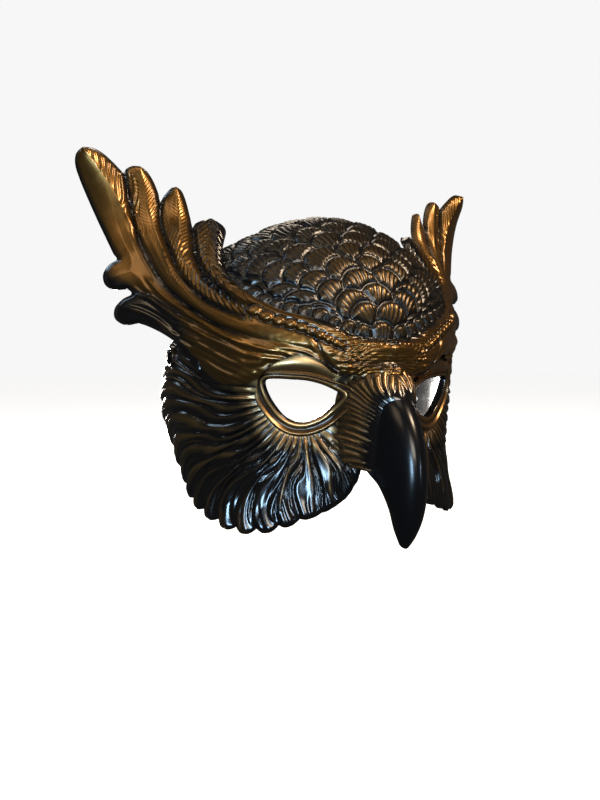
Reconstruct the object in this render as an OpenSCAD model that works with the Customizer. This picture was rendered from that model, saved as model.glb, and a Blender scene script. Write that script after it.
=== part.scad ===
// Horned-owl masquerade half mask with a skull cap.
// Frame: origin midway between the two temple rivets, at the centre of the
// wearer's head. +X is the wearer's left, -Y is the way the beak points, +Z is up.
// Surface points on the face are set out as (s, l): s is the arc length round
// the head from the centre line and l the arc length up from the rivets' level.

/* [Shell] */
// Outside radius of the head-shaped shell, mm
shell_r = 86; // [84:0.5:88]
// Wall thickness of the moulded shells, mm
wall = 2.6; // [2.2:0.1:3]
// How far the bridge of the nose stands proud of the face, mm
nose_rise = 10; // [8:0.5:11]
// How far the rear of each cheek flares out at the temple, mm
temple_flare = 8.5; // [6:0.5:9]
// Depth of the scallops along the cheek's edge, mm
scallop = 3; // [0:0.5:4]
// Extra radius of the feathered crown over the face, mm
crown_rise = 1.5; // [1:0.5:2]

/* [Eyes] */
// Widest part of the raised lip round an eye, mm
lip_w = 5.5; // [4:0.5:6]
// Height of the raised lip over the face, mm
lip_h = 2.4; // [1.6:0.2:2.8]

/* [Plumes] */
// Front-to-back thickness of a plume, mm
plume_t = 4; // [3:0.5:5]

/* [Beak] */
// Wall thickness of the hollow beak, mm
beak_wall = 2.6; // [2:0.2:3]

/* [Strap] */
// Width of the elastic band, mm
strap_w = 20; // [16:1:22]
// Thickness of the elastic band, mm
strap_t = 1.6; // [1.2:0.1:1.8]
// Mean radius of the band behind the head, mm
strap_r = 79.9; // [79.6:0.1:80]
// Where the slider sits, degrees round from the back of the head
slider_at = 28; // [15:1:40]

/* [Pads] */
// Thickness of the foam pads, mm
pad_t = 5; // [3:0.5:6]

/* [Hidden] */

bronze = [0.42, 0.28, 0.12];
dark = [0.10, 0.09, 0.08];
foam = [0.16, 0.16, 0.17];
rivet_r = 2.4;          // shank radius of a temple rivet
rivet_hole = 2.45;      // running hole in the swivelling tabs
boss_in = 85.5;         // inner face of the moulded rivet boss
boss_out = 91;          // outer face of the moulded rivet boss
strap_y = 28;           // centre of the band's rear arc
face_rows = 10;         // rows from an eye opening to the outline
crown_r = shell_r + crown_rise;
side_a = 60;            // how far round each side the crown reaches, degrees

// ---------- small maths ----------
function sst(x) = let (c = min(max(x, 0), 1)) c * c * (3 - 2 * c);
function bell(x, w) = exp(-pow(x / w, 2));
function mix(a, b, t) = a + (b - a) * t;
// smooth curve through a list of points, t counted in points
function cr(p, t) =
    let (n = len(p) - 1, i = min(max(floor(t), 0), n - 1), f = t - i,
         a = p[max(i - 1, 0)], b = p[i], c = p[i + 1], d = p[min(i + 2, n)])
    b + 0.5 * f * ((c - a) + f * ((2 * a - 5 * b + 4 * c - d)
      + f * (3 * (b - c) + d - a)));
// the same for a closed list
function crc(p, t) =
    let (n = len(p), i = floor(t), f = t - i, a = p[(i - 1 + n) % n], b = p[i % n],
         c = p[(i + 1) % n], d = p[(i + 2) % n])
    b + 0.5 * f * ((c - a) + f * ((2 * a - 5 * b + 4 * c - d)
      + f * (3 * (b - c) + d - a)));
// two triangles for a four-sided patch
function quad(a, b, c, d, flip = false) = flip ? [[a, c, b], [a, d, c]] : [[a, b, c], [a, c, d]];

// ---------- the face surface ----------
function face_r(s, l) = let (t = abs(s))
    shell_r
    + nose_rise * pow(max(0, 1 - pow(t / 27, 2)), 2) * sst((8 - l) / 14)
    + temple_flare * sst((t - 95) / 50) * bell(l + 24, 28)
    - 7 * exp(-pow((t - 43) / 24, 2) - pow((l + 27) / 20, 2))
    - 2.5 * bell(l + 52, 18) * sst((t - 20) / 20) * sst((125 - t) / 25)
    + 2.5 * sst((-l - 68) / 24);
// point at (s, l), d inside the outer surface
function fpt(s, l, d = 0) =
    let (a = s / shell_r * 180 / PI, e = l > 0 ? l / shell_r * 180 / PI : 0,
         r = face_r(s, l) - d)
    [r * cos(e) * sin(a), -r * cos(e) * cos(a), l > 0 ? r * sin(e) : l];

// eye opening, as (s, l)
EYE_C = [43, -22];
EYE = [[20.5, -18.8], [24.8, -25.5], [32.5, -31.8], [43, -34.8], [52.5, -32],
       [60, -23.5], [63.6, -14.5], [62, -10.4], [56, -9.6], [47, -10], [38, -10.8], [28, -13.8]];

// crown seam: pitch up from the front, against the angle round to the side
SEAM = [[0, 4], [14, 6.6], [21, 11], [28, 13.7], [38, 18.6], [46, 30], [53.5, 53], [58, 68], [side_a, 80]];
function seam_b(a) = let (t = abs(a), i = max([for (k = [0 : len(SEAM) - 2]) if (t >= SEAM[k][0]) k]),
    f = (t - SEAM[i][0]) / (SEAM[i + 1][0] - SEAM[i][0]))
    t >= side_a ? 80 : mix(SEAM[i][1], SEAM[i + 1][1], f);
function rear_b(a) = 21.8 + acos(-15 / (1.077 * shell_r * cos(a)));
// (angle, pitch) on the crown to (s, l) on the face
function ab_sl(a, b) =
    let (x = sin(a), y = cos(a) * cos(b), z = cos(a) * sin(b))
    [atan2(x, y) * PI / 180 * shell_r, asin(z) * PI / 180 * shell_r];
SEAM_A = [0, 7, 14, 18, 21, 25, 28, 33, 38, 42, 46, 50, 53.5, 56, 58, 59.2];
SEAM_LINE = concat([for (b = [rear_b(side_a) : -6 : 82]) ab_sl(side_a, b)],
    [for (i = [len(SEAM_A) - 1 : -1 : 1]) ab_sl(SEAM_A[i], seam_b(SEAM_A[i]))]);

// lower and rear edge of a cheek, one scallop between each pair of points
CHEEK = [[13, -55], [16, -65], [22, -73.5], [32, -79], [43, -82], [54, -85.5], [66, -88],
         [78, -88.5], [90, -86], [102, -82.5], [113, -78.5], [123, -72.5], [131, -64.5],
         [139, -55], [145, -43], [148, -30], [148, -17], [147, -4], [148, 9]];
function cheek_edge(w) =
    let (p = cr(CHEEK, w), q = cr(CHEEK, w + 0.02), t = (q - p) / norm(q - p),
         k = scallop * sst((w - 2) / 4) * (w > 14 ? mix(1, 0.7, (w - 14) / 4) : 1),
         f = w - floor(w))
    p + [t[1], -t[0]] * k * pow(sin(180 * f), 0.7);
NOTCH = [[0, -12], [7, -14.5], [11, -20], [12.8, -30], [13.4, -42], [13, -55]];
cheek_steps = 4;
// the outline of half a face, anticlockwise from the top of the centre line
OUTLINE = concat(
    [for (i = [0 : 3]) [0, mix(6, -12, i / 4)]],
    [for (i = [0 : 9]) cr(NOTCH, i / 2)],
    [for (i = [0 : 18 * cheek_steps - 1]) cheek_edge(i / cheek_steps)],
    [CHEEK[18], [155, 17], [161, 25]],
    SEAM_LINE);
NO = len(OUTLINE);
// the eye opening's point that faces each outline point
EYE_N = 240;
EYE_FINE = [for (i = [0 : EYE_N - 1]) crc(EYE, i / EYE_N * len(EYE))];
function eye_ang(p) = (atan2(p[1] - EYE_C[1], p[0] - EYE_C[0]) + 360) % 360;
EYE_ANG = [for (p = EYE_FINE) eye_ang(p)];
function angdiff(a, b) = abs((a - b + 540) % 360 - 180);
function eye_point(a) = let (d = [for (e = EYE_ANG) angdiff(e, a)], m = min(d),
    i = search(m, d)[0]) EYE_FINE[i];
INNER = [for (p = OUTLINE) eye_point(eye_ang(p))];

// rows are denser near the eye
function row(i) = pow(i / face_rows, 1.25);
function face_half(sgn, d) = [for (j = [0 : NO - 1]) for (i = [0 : face_rows])
    let (q = mix(INNER[j], OUTLINE[j], row(i)), p = fpt(q[0], q[1], d)) [sgn * p[0], p[1], p[2]]];
function on_mid(j) = abs(OUTLINE[j % NO][0]) < 0.001;
// number of a point: side 0 right half, 1 left half; layer 0 outside, 1 inside
function fid(side, layer, j, i) = let (jj = j % NO,
    sd = (i == face_rows && on_mid(jj)) ? 0 : side)
    ((sd * 2 + layer) * NO + jj) * (face_rows + 1) + i;

module face_skin() {
    pts = concat(face_half(1, 0), face_half(1, wall), face_half(-1, 0), face_half(-1, wall));
    fcs = [for (side = [0, 1]) for (j = [0 : NO - 1]) let (fl = side == 1) each concat(
        [for (i = [0 : face_rows - 1]) each quad(fid(side, 0, j, i), fid(side, 0, j + 1, i),
            fid(side, 0, j + 1, i + 1), fid(side, 0, j, i + 1), fl)],
        [for (i = [0 : face_rows - 1]) each quad(fid(side, 1, j, i), fid(side, 1, j, i + 1),
            fid(side, 1, j + 1, i + 1), fid(side, 1, j + 1, i), fl)],
        quad(fid(side, 0, j + 1, 0), fid(side, 0, j, 0), fid(side, 1, j, 0), fid(side, 1, j + 1, 0), fl),
        (on_mid(j) && on_mid(j + 1)) ? [] :
            quad(fid(side, 0, j, face_rows), fid(side, 0, j + 1, face_rows),
                 fid(side, 1, j + 1, face_rows), fid(side, 1, j, face_rows), fl))];
    polyhedron(points = pts, faces = fcs, convexity = 10);
}

// The facial disc: both cheeks, the two eye openings, the bridge over the beak
// and the rear wall at each temple, with a drilled boss for each rivet.
module face_shell() {
    color(bronze) difference() {
        union() {
            face_skin();
            for (s = [-1, 1]) translate([s * boss_in, 0, 0]) rotate([0, s * 90, 0])
                cylinder(r = 6.5, h = boss_out - boss_in, $fn = 48);
        }
        for (s = [-1, 1]) translate([s * (boss_in - 5), 0, 0]) rotate([0, s * 90, 0])
            cylinder(r = rivet_hole + 0.05, h = 15, $fn = 32);
    }
}

// ---------- the crown ----------
// how far the dome's top is flattened, more toward the back
function crown_drop(p) = min(max(6.2 + 0.13 * p[1], 1.5), 10.5) * sst((p[2] - 28) / 48)
    * (1 - sst((abs(p[0]) - 42) / 32));
function cpt(a, b, d = 0) = let (p = (crown_r - d) * [sin(a), -cos(a) * cos(b), cos(a) * sin(b)])
    p - [0, 0, crown_drop(p)];
crown_cols = 40;
crown_rows = 22;
function crown_a(j) = let (u = 2 * j / crown_cols - 1)
    (side_a - 0.35) * (1.25 * u - 0.25 * pow(u, 3)) ;
module crown_shell() {
    nj = crown_cols + 1;
    ni = crown_rows + 1;
    pts = [for (layer = [0, 1]) for (j = [0 : crown_cols]) for (i = [0 : crown_rows])
        let (a = crown_a(j), b0 = seam_b(a) + 0.25 / max(cos(a), 0.5), b = mix(b0, rear_b(a), i / crown_rows))
        cpt(a, b, layer * wall)];
    function id(layer, j, i) = (layer * nj + j) * ni + i;
    fcs = concat(
        [for (j = [0 : crown_cols - 1]) for (i = [0 : crown_rows - 1]) each concat(
            quad(id(0, j, i), id(0, j, i + 1), id(0, j + 1, i + 1), id(0, j + 1, i)),
            quad(id(1, j, i), id(1, j + 1, i), id(1, j + 1, i + 1), id(1, j, i + 1)))],
        [for (j = [0 : crown_cols - 1]) each concat(
            quad(id(0, j, 0), id(0, j + 1, 0), id(1, j + 1, 0), id(1, j, 0)),
            quad(id(0, j + 1, crown_rows), id(0, j, crown_rows), id(1, j, crown_rows), id(1, j + 1, crown_rows)))],
        [for (i = [0 : crown_rows - 1]) each concat(
            quad(id(0, 0, i + 1), id(0, 0, i), id(1, 0, i), id(1, 0, i + 1)),
            quad(id(0, crown_cols, i), id(0, crown_cols, i + 1), id(1, crown_cols, i + 1), id(1, crown_cols, i)))]);
    color(dark) polyhedron(points = pts, faces = fcs, convexity = 8);
}

// ---------- the plumes ----------
// Lower/outer and upper/inner edge of a plume seen from the front, as (x, z).
// Points with the same number face each other across the plume.
P_LOW = [[0.2, -8], [12, -9.5], [24, -9], [33, -2.5], [43.5, 1.5], [54.5, -2.5], [62.5, -11.5], [72, -14.8],
         [80.5, -11], [87, -0.5], [92, 8], [99.5, 14.5], [108, 18.8], [115, 18.2], [119.8, 22], [119.6, 28],
         [115.5, 33], [111, 35.8], [113, 38.6], [119.5, 38.6], [124, 41.5], [125, 47.5], [122, 53], [117.5, 56.3],
         [119.2, 60], [121.6, 66.5], [124.8, 75], [127.8, 83], [130.8, 91], [133.8, 99], [136, 105],
         [137.7, 110.5], [138, 114.5], [137.2, 117.8], [135.4, 119.8]];
P_UP = [[0.2, 8.5], [11, 10], [20.5, 12.5], [29.5, 17.5], [39.5, 20.8], [46, 22.5], [51.5, 25], [56.5, 28.5],
        [60.5, 33], [64, 38], [67, 44.5], [68.5, 51], [67, 59], [63.8, 67], [61.2, 74], [63, 79],
        [68.5, 80.2], [74, 78], [77, 74.5], [77.8, 82.5], [79.2, 91], [81.5, 98], [85, 100], [89.5, 95.5],
        [92.8, 90.5], [94.2, 97], [97, 105], [101, 110.8], [106, 112.2], [110, 110.5], [112.3, 107.8],
        [118, 113], [124, 118], [129.5, 120.6], [134, 120.8]];
// where the line from one edge to the other is drawn toward on its way
P_MID = [[0.2, 0.3], [11.5, 0.3], [22.3, 1.8], [31.3, 7.5], [41.5, 11], [50.3, 10], [57, 6.8], [64.3, 6.8],
         [70.5, 11], [75.5, 18.8], [80, 25.5], [84, 31], [88, 34], [91, 36], [92.7, 37.5], [94, 38.8],
         [95.2, 39.8], [96.2, 41], [97.5, 44], [98.7, 48], [100, 52], [101.2, 55.5], [102.3, 58.5], [103.5, 61.5],
         [105, 65], [107, 69.5], [110, 74.5], [113, 79.5], [116, 84], [119, 88], [122.5, 91.5],
         [127, 98.5], [130.5, 108], [133, 115.5], [134.7, 119.6]];
// depth of the plume's front at x = 0, 20 .. 140 (across) and z = -20, 0 .. 140 (down)
P_Y = [[-97, -92, -84, -69, -43, -12, 6, 18],
       [-97, -92, -84, -69, -44, -15, 4, 17],
       [-90, -87, -79, -64, -40, -13, 6, 17],
       [-82, -79, -70, -51, -30, -8, 10, 20],
       [-64, -61, -50, -29, -14, 1, 14, 24],
       [-40, -38, -28, -9, 2, 11, 19, 28],
       [-24, -20, -12, -2, 7, 15, 21, 29],
       [-14, -10, -4, 3, 10, 17, 20, 25],
       [-10, -6, 0, 6, 12, 18, 20, 24]];
function p_sheet(x, z) = let (u = min(max(x / 20, 0), 7), v = min(max((z + 20) / 20, 0), 8))
    cr([for (r = P_Y) cr(r, u)], v);
// front of the shell under a plume at (x, z), or far behind where there is none
function under_r(x, z, n = 3) = n == 0 ? shell_r + 2 :
    let (r = under_r(x, z, n - 1), h = z > 0 ? sqrt(max(r * r - z * z, 1)) : r,
         s = asin(min(x / h, 1)) * PI / 180 * shell_r, l = z > 0 ? asin(min(z / r, 1)) * PI / 180 * shell_r : z)
    max(face_r(s, l), z > 0 ? mix(shell_r, crown_r, sst(z / 6)) : 0);
function under_y(x, z) = let (r = under_r(x, z) + 0.6, h = r * r - x * x - (z > 0 ? z * z : 0))
    h > 4 ? -sqrt(h) : (h > -300 ? 60 * (4 - h) / 300 - 2 : 200);
function p_front(x, z) = min(p_sheet(x, z), under_y(x, z) - 2.2);
function p_back(x, z) = min(p_sheet(x, z) + plume_t, under_y(x, z) - 0.3);
plume_steps = 2;
plume_rows = 9;
PN = (len(P_LOW) - 1) * plume_steps;
function plume_xz(k, i) = let (c = k / plume_steps, t = i / plume_rows)
    (1 - t) * (1 - t) * cr(P_LOW, c) + 2 * t * (1 - t) * cr(P_MID, c) + t * t * cr(P_UP, c);
module plume(sgn) {
    n = PN + 1;
    m = plume_rows + 1;
    pts = [for (layer = [0, 1]) for (k = [0 : PN]) for (i = [0 : plume_rows])
        let (q = plume_xz(k, i)) [sgn * q[0], layer == 0 ? p_front(q[0], q[1]) : p_back(q[0], q[1]), q[1]]];
    function id(layer, k, i) = (layer * n + k) * m + i;
    fl = sgn < 0;
    fcs = concat(
        [for (k = [0 : PN - 1]) for (i = [0 : plume_rows - 1]) each concat(
            quad(id(0, k, i), id(0, k, i + 1), id(0, k + 1, i + 1), id(0, k + 1, i), fl),
            quad(id(1, k, i), id(1, k + 1, i), id(1, k + 1, i + 1), id(1, k, i + 1), fl))],
        [for (k = [0 : PN - 1]) each concat(
            quad(id(0, k, 0), id(0, k + 1, 0), id(1, k + 1, 0), id(1, k, 0), fl),
            quad(id(0, k + 1, plume_rows), id(0, k, plume_rows), id(1, k, plume_rows), id(1, k + 1, plume_rows), fl))],
        [for (i = [0 : plume_rows - 1]) each concat(
            quad(id(0, 0, i + 1), id(0, 0, i), id(1, 0, i), id(1, 0, i + 1), fl),
            quad(id(0, PN, i), id(0, PN, i + 1), id(1, PN, i + 1), id(1, PN, i), fl))]);
    polyhedron(points = pts, faces = fcs, convexity = 10);
}
// Brow band and feathered horn of the wearer's right side.
module plume_right() { color(bronze) plume(-1); }
// Brow band and feathered horn of the wearer's left side.
module plume_left() { color(bronze) plume(1); }

// ---------- the beak ----------
// ridge of the beak as (y, z), and its rear edge as (half width, y, z)
B_RIDGE = [[-98.5, -16], [-104.5, -18.8], [-110, -24], [-115.5, -32.5], [-119.8, -44], [-121.5, -56],
           [-120.8, -68], [-118.3, -78.5], [-114, -87], [-109.8, -92.5]];
B_EDGE = [[7.4, -91, -17], [9.8, -89.5, -22], [11.6, -88.6, -29.5], [12.5, -88.2, -38], [12.9, -88.6, -47],
          [12.7, -91.5, -55.5], [10.8, -101, -62.5], [8.2, -106.4, -72.5], [5.2, -107.8, -83], [1.6, -108.6, -91.5]];
beak_rows = 27;
beak_arc = 16;
// point on the beak at section k and angle f round it, with the wall d taken off
function beak_pt(k, f, d) =
    let (t = k / beak_rows * 9, g = cr(B_RIDGE, t), e = cr(B_EDGE, t), c = [0, e[1], e[2]],
         v = [0, g[0], g[1]] - c, dv = norm(v), w = e[0],
         wi = d == 0 ? w : w * max(1 - d / w, 0.3), di = d == 0 ? dv : dv * max(1 - d / dv, 0.3))
    c + [wi * cos(f), 0, 0] + v / dv * di * sin(f);
// Hooked hollow beak, open behind the nose.
module beak() {
    n = beak_rows + 1;
    m = beak_arc + 1;
    pts = [for (layer = [0, 1]) for (k = [0 : beak_rows]) for (i = [0 : beak_arc])
        beak_pt(k, 180 * i / beak_arc, layer * beak_wall)];
    function id(layer, k, i) = (layer * n + k) * m + i;
    fcs = concat(
        [for (k = [0 : beak_rows - 1]) for (i = [0 : beak_arc - 1]) each concat(
            quad(id(0, k, i), id(0, k + 1, i), id(0, k + 1, i + 1), id(0, k, i + 1), true),
            quad(id(1, k, i), id(1, k, i + 1), id(1, k + 1, i + 1), id(1, k + 1, i), true))],
        [for (k = [0 : beak_rows - 1]) each concat(
            quad(id(0, k + 1, 0), id(0, k, 0), id(1, k, 0), id(1, k + 1, 0), true),
            quad(id(0, k, beak_arc), id(0, k + 1, beak_arc), id(1, k + 1, beak_arc), id(1, k, beak_arc), true))],
        [for (i = [0 : beak_arc - 1]) each concat(
            quad(id(0, 0, i), id(0, 0, i + 1), id(1, 0, i + 1), id(1, 0, i), true),
            quad(id(0, beak_rows, i + 1), id(0, beak_rows, i), id(1, beak_rows, i), id(1, beak_rows, i + 1), true))]);
    color([0.03, 0.03, 0.035]) polyhedron(points = pts, faces = fcs, convexity = 6);
}

// ---------- the eye rims ----------
// section of a rim: (how far out from the opening's edge, 0 to 1 across the lip, height)
RIM = [[-1.3, 0, -2.2], [-1.4, 0, 0.8], [-0.9, 0, 1.7], [0.4, 0, 1.9], [0, 0.34, 1.1], [0, 0.55, 1.3],
       [0, 0.78, lip_h], [0, 0.95, 1.5], [0, 1, 0.4], [0.2, 0, 0.4], [-0.3, 0, 0.2], [-0.3, 0, -2.2]];
rim_steps = 60;
function rim_pt(j, k) =
    let (t = j / rim_steps * len(EYE), p = crc(EYE, t), q = crc(EYE, t + 0.05), g = (q - p) / norm(q - p),
         w = mix(2, lip_w, sst((-12 - p[1]) / 9)), r = RIM[k], o = r[0] + w * r[1],
         h = r[2] > 0 ? r[2] * mix(0.75, 1, sst((-12 - p[1]) / 9)) + (r[2] > 0.5 ? 0 : 0.1) : r[2],
         c = p + [g[1], -g[0]] * o)
    fpt(c[0], c[1], -h);
module eye_rim(sgn) {
    m = len(RIM);
    pts = [for (j = [0 : rim_steps - 1]) for (k = [0 : m - 1]) let (p = rim_pt(j, k)) [sgn * p[0], p[1], p[2]]];
    fcs = [for (j = [0 : rim_steps - 1]) for (k = [0 : m - 1]) let (j2 = (j + 1) % rim_steps, k2 = (k + 1) % m)
        each quad(j * m + k, j2 * m + k, j2 * m + k2, j * m + k2, sgn < 0)];
    polyhedron(points = pts, faces = fcs, convexity = 6);
}
// Raised double lip round the wearer's right eye.
module eye_rim_right() { color(bronze) eye_rim(-1); }
// Raised double lip round the wearer's left eye.
module eye_rim_left() { color(bronze) eye_rim(1); }

// ---------- strap hardware ----------
module along_x(s, x) { translate([s * x, 0, 0]) rotate([0, s * 90, 0]) children(); }
// Domed rivet through each temple boss, with a dimpled head and a clenched tail.
module temple_rivets() {
    color([0.12, 0.12, 0.13]) for (s = [-1, 1]) along_x(s, 0) rotate_extrude($fn = 48)
        polygon([[0, 78.2], [3.0, 78.2], [3.6, 78.6], [3.6, 79.3], [rivet_r, 79.3], [rivet_r, 91.15],
                 [4.2, 91.15], [4.2, 91.7], [3.6, 92.3], [2.4, 92.7], [1.6, 92.7], [1.2, 92.2], [0, 92.1]]);
}
// Nylon spacer between each boss and its strap tab.
module spacer_washers() {
    color([0.75, 0.74, 0.7]) for (s = [-1, 1]) along_x(s, 83) difference() {
        cylinder(r = 5, h = boss_in - 83 - 0.1, $fn = 48);
        translate([0, 0, -1]) cylinder(r = rivet_hole, h = 6, $fn = 48);
    }
}
// Steel washer under each rivet's clenched tail.
module back_washers() {
    color("silver") for (s = [-1, 1]) along_x(s, 79.4) difference() {
        cylinder(r = 4.6, h = 1.1, $fn = 48);
        translate([0, 0, -1]) cylinder(r = rivet_hole, h = 4, $fn = 48);
    }
}
module strap_tab(s) {
    along_x(s, 80.85) difference() {
        linear_extrude(height = 1.95) union() {
            circle(r = 7.5, $fn = 48);
            polygon([[-7.5, 0], [7.5, 0], [8.5, 12], [8.5, 24], [-8.5, 24], [-8.5, 12]]);
        }
        translate([0, 0, -1]) cylinder(r = rivet_hole, h = 5, $fn = 48);
    }
}
// Leather end tab of the band, wearer's right; it turns on the rivet.
module strap_tab_right() { color([0.05, 0.045, 0.04]) strap_tab(-1); }
// Leather end tab of the band, wearer's left; it turns on the rivet.
module strap_tab_left() { color([0.05, 0.045, 0.04]) strap_tab(1); }
// Flat elastic band: a straight lap on each tab and an arc behind the head.
module head_strap() {
    color([0.04, 0.04, 0.045]) translate([0, 0, -strap_w / 2]) {
        translate([0, strap_y, 0]) rotate_extrude(angle = 180, $fn = 128)
            translate([strap_r - strap_t / 2, 0]) square([strap_t, strap_w]);
        for (s = [-1, 1]) translate([s > 0 ? strap_r - strap_t / 2 : -strap_r - strap_t / 2, 8, 0])
            cube([strap_t, strap_y - 8, strap_w]);
    }
}
// Adjuster that grips the band and slides round it: a frame with a middle bar.
module strap_slider() {
    color([0.03, 0.03, 0.03]) translate([0, strap_y, 0]) rotate([0, 0, 90 - slider_at - 6]) {
        difference() {
            rotate_extrude(angle = 12, $fn = 128)
                translate([strap_r - strap_t / 2 - 1.5, -strap_w / 2 - 3]) square([strap_t + 3, strap_w + 6]);
            rotate([0, 0, -1]) rotate_extrude(angle = 14, $fn = 128)
                translate([strap_r - strap_t / 2 - 0.3, -strap_w / 2 - 0.4]) square([strap_t + 0.6, strap_w + 0.8]);
            for (a = [2, 7]) rotate([0, 0, a]) rotate_extrude(angle = 3, $fn = 128)
                translate([strap_r, -strap_w / 2 + 1]) square([10, strap_w - 2]);
        }
    }
}

// ---------- pads ----------
// Foam strip against the inside of the forehead.
module forehead_pad() {
    color(foam) rotate([0, 0, -90 - 36]) rotate_extrude(angle = 72, $fn = 96)
        polygon([[81.6, 14], [75.6, 34], [74.6, 34.3], [75.6 - pad_t, 32], [76.4 - pad_t + 5.2, 11.6], [80.6, 13]]);
}
// Round foam pad under the top of the crown.
module crown_pad() {
    color(foam) intersection() {
        translate([0, -9.5, -5.7]) difference() {
            sphere(r = crown_r - wall - 0.4, $fn = 96);
            sphere(r = crown_r - wall - 0.4 - pad_t, $fn = 96);
        }
        translate([0, 12, 0]) cylinder(r = 27, h = 100, $fn = 64);
    }
}
// Bent foam pad over the bridge of the nose.
module nose_pad() {
    color(foam) translate([0, 0, -11.5]) linear_extrude(height = 9)
        polygon([[-16, -82.8], [-9, -87.2], [0, -90.2], [9, -87.2], [16, -82.8], [14.5, -82.8 + pad_t],
                 [7.5, -83 + pad_t - 1], [0, -85.6 + pad_t - 1], [-7.5, -83 + pad_t - 1], [-14.5, -82.8 + pad_t]]);
}
module cheek_pad(s) {
    rotate([0, 0, s > 0 ? -52 : -148]) rotate_extrude(angle = 20, $fn = 96)
        polygon([[80, -76], [80, -60], [79, -58], [80 - pad_t, -59], [80 - pad_t, -77], [79, -78]]);
}
// Foam pad against the wearer's right cheek.
module cheek_pad_right() { color(foam) cheek_pad(-1); }
// Foam pad against the wearer's left cheek.
module cheek_pad_left() { color(foam) cheek_pad(1); }

face_shell();
crown_shell();
plume_right();
plume_left();
beak();
eye_rim_right();
eye_rim_left();
temple_rivets();
spacer_washers();
back_washers();
strap_tab_right();
strap_tab_left();
head_strap();
strap_slider();
forehead_pad();
crown_pad();
nose_pad();
cheek_pad_right();
cheek_pad_left();
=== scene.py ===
import math

import bmesh
import bpy
import numpy as np
from mathutils import Matrix, Vector

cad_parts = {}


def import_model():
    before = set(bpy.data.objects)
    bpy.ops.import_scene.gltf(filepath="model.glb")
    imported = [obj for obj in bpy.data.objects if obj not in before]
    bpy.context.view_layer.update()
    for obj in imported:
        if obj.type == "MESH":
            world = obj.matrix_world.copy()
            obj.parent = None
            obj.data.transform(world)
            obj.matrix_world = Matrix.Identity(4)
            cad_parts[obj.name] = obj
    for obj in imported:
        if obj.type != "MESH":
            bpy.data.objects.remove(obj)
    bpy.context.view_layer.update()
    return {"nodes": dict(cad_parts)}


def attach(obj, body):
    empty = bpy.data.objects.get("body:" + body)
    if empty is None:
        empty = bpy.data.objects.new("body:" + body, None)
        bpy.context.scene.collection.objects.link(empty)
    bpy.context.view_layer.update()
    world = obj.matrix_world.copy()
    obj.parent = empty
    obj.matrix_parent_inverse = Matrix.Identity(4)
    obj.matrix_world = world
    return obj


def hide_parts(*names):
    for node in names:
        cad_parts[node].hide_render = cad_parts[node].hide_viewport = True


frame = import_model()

SR = 86.0
WALL = 2.6
PI = math.pi


def sst(x):
    c = np.clip(x, 0.0, 1.0)
    return c * c * (3 - 2 * c)


def bell(x, w):
    return np.exp(-(x / w) ** 2)


def mix(a, b, t):
    return a + (b - a) * t


def cr(p, t):
    """Smooth curve through an open list of points, t counted in points."""
    p = np.asarray(p, float)
    t = np.asarray(t, float)
    n = len(p) - 1
    i = np.clip(np.floor(t).astype(int), 0, n - 1)
    f = t - i
    a, b, c, d = p[np.maximum(i - 1, 0)], p[i], p[i + 1], p[np.minimum(i + 2, n)]
    if p.ndim > 1:
        f = f[..., None]
    return b + 0.5 * f * ((c - a) + f * ((2 * a - 5 * b + 4 * c - d) + f * (3 * (b - c) + d - a)))


def crc(p, t):
    """The same for a closed list."""
    p = np.asarray(p, float)
    t = np.asarray(t, float)
    n = len(p)
    i = np.floor(t).astype(int)
    f = (t - i)[..., None]
    a, b, c, d = p[(i - 1) % n], p[i % n], p[(i + 1) % n], p[(i + 2) % n]
    return b + 0.5 * f * ((c - a) + f * ((2 * a - 5 * b + 4 * c - d) + f * (3 * (b - c) + d - a)))


# ---------------------------------------------------------------- face surface
def face_r(s, l):
    t = np.abs(s)
    return (SR + 10 * np.clip(1 - (t / 27) ** 2, 0, None) ** 2 * sst((8 - l) / 14)
            + 8.5 * sst((t - 95) / 50) * bell(l + 24, 28)
            - 7 * np.exp(-((t - 43) / 24) ** 2 - ((l + 27) / 20) ** 2)
            - 2.5 * bell(l + 52, 18) * sst((t - 20) / 20) * sst((125 - t) / 25)
            + 2.5 * sst((-l - 68) / 24))


def fpt(s, l, h=0.0):
    """Point at (s, l) on the face, h outside the outer surface."""
    a = s / SR
    e = np.where(l > 0, l / SR, 0.0)
    r = face_r(s, l) + h
    return np.stack([r * np.cos(e) * np.sin(a), -r * np.cos(e) * np.cos(a), np.where(l > 0, r * np.sin(e), l)], -1)


EYE_C = np.array([43.0, -22.0])
EYE = [[20.5, -18.8], [24.8, -25.5], [32.5, -31.8], [43, -34.8], [52.5, -32], [60, -23.5],
       [63.6, -14.5], [62, -10.4], [56, -9.6], [47, -10], [38, -10.8], [28, -13.8]]
SIDE_A = 60.0
SEAM = [[0, 4], [14, 6.6], [21, 11], [28, 13.7], [38, 18.6], [46, 30], [53.5, 53], [58, 68], [SIDE_A, 80]]
CR = SR + 1.5


def dsin(a):
    return np.sin(np.radians(a))


def dcos(a):
    return np.cos(np.radians(a))


def seam_b(a):
    t = np.abs(np.asarray(a, float))
    return np.interp(t, [q[0] for q in SEAM], [q[1] for q in SEAM])


def rear_b(a):
    return 21.8 + np.degrees(np.arccos(-15 / (1.077 * SR * dcos(np.asarray(a, float)))))


def ab_sl(a, b):
    x, y, z = dsin(a), dcos(a) * dcos(b), dcos(a) * dsin(b)
    return np.stack([np.arctan2(x, y) * SR, np.arcsin(z) * SR], -1)


CHEEK = [[13, -55], [16, -65], [22, -73.5], [32, -79], [43, -82], [54, -85.5], [66, -88], [78, -88.5],
         [90, -86], [102, -82.5], [113, -78.5], [123, -72.5], [131, -64.5], [139, -55], [145, -43],
         [148, -30], [148, -17], [147, -4], [148, 9]]
NOTCH = [[0, -12], [7, -14.5], [11, -20], [12.8, -30], [13.4, -42], [13, -55]]


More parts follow.
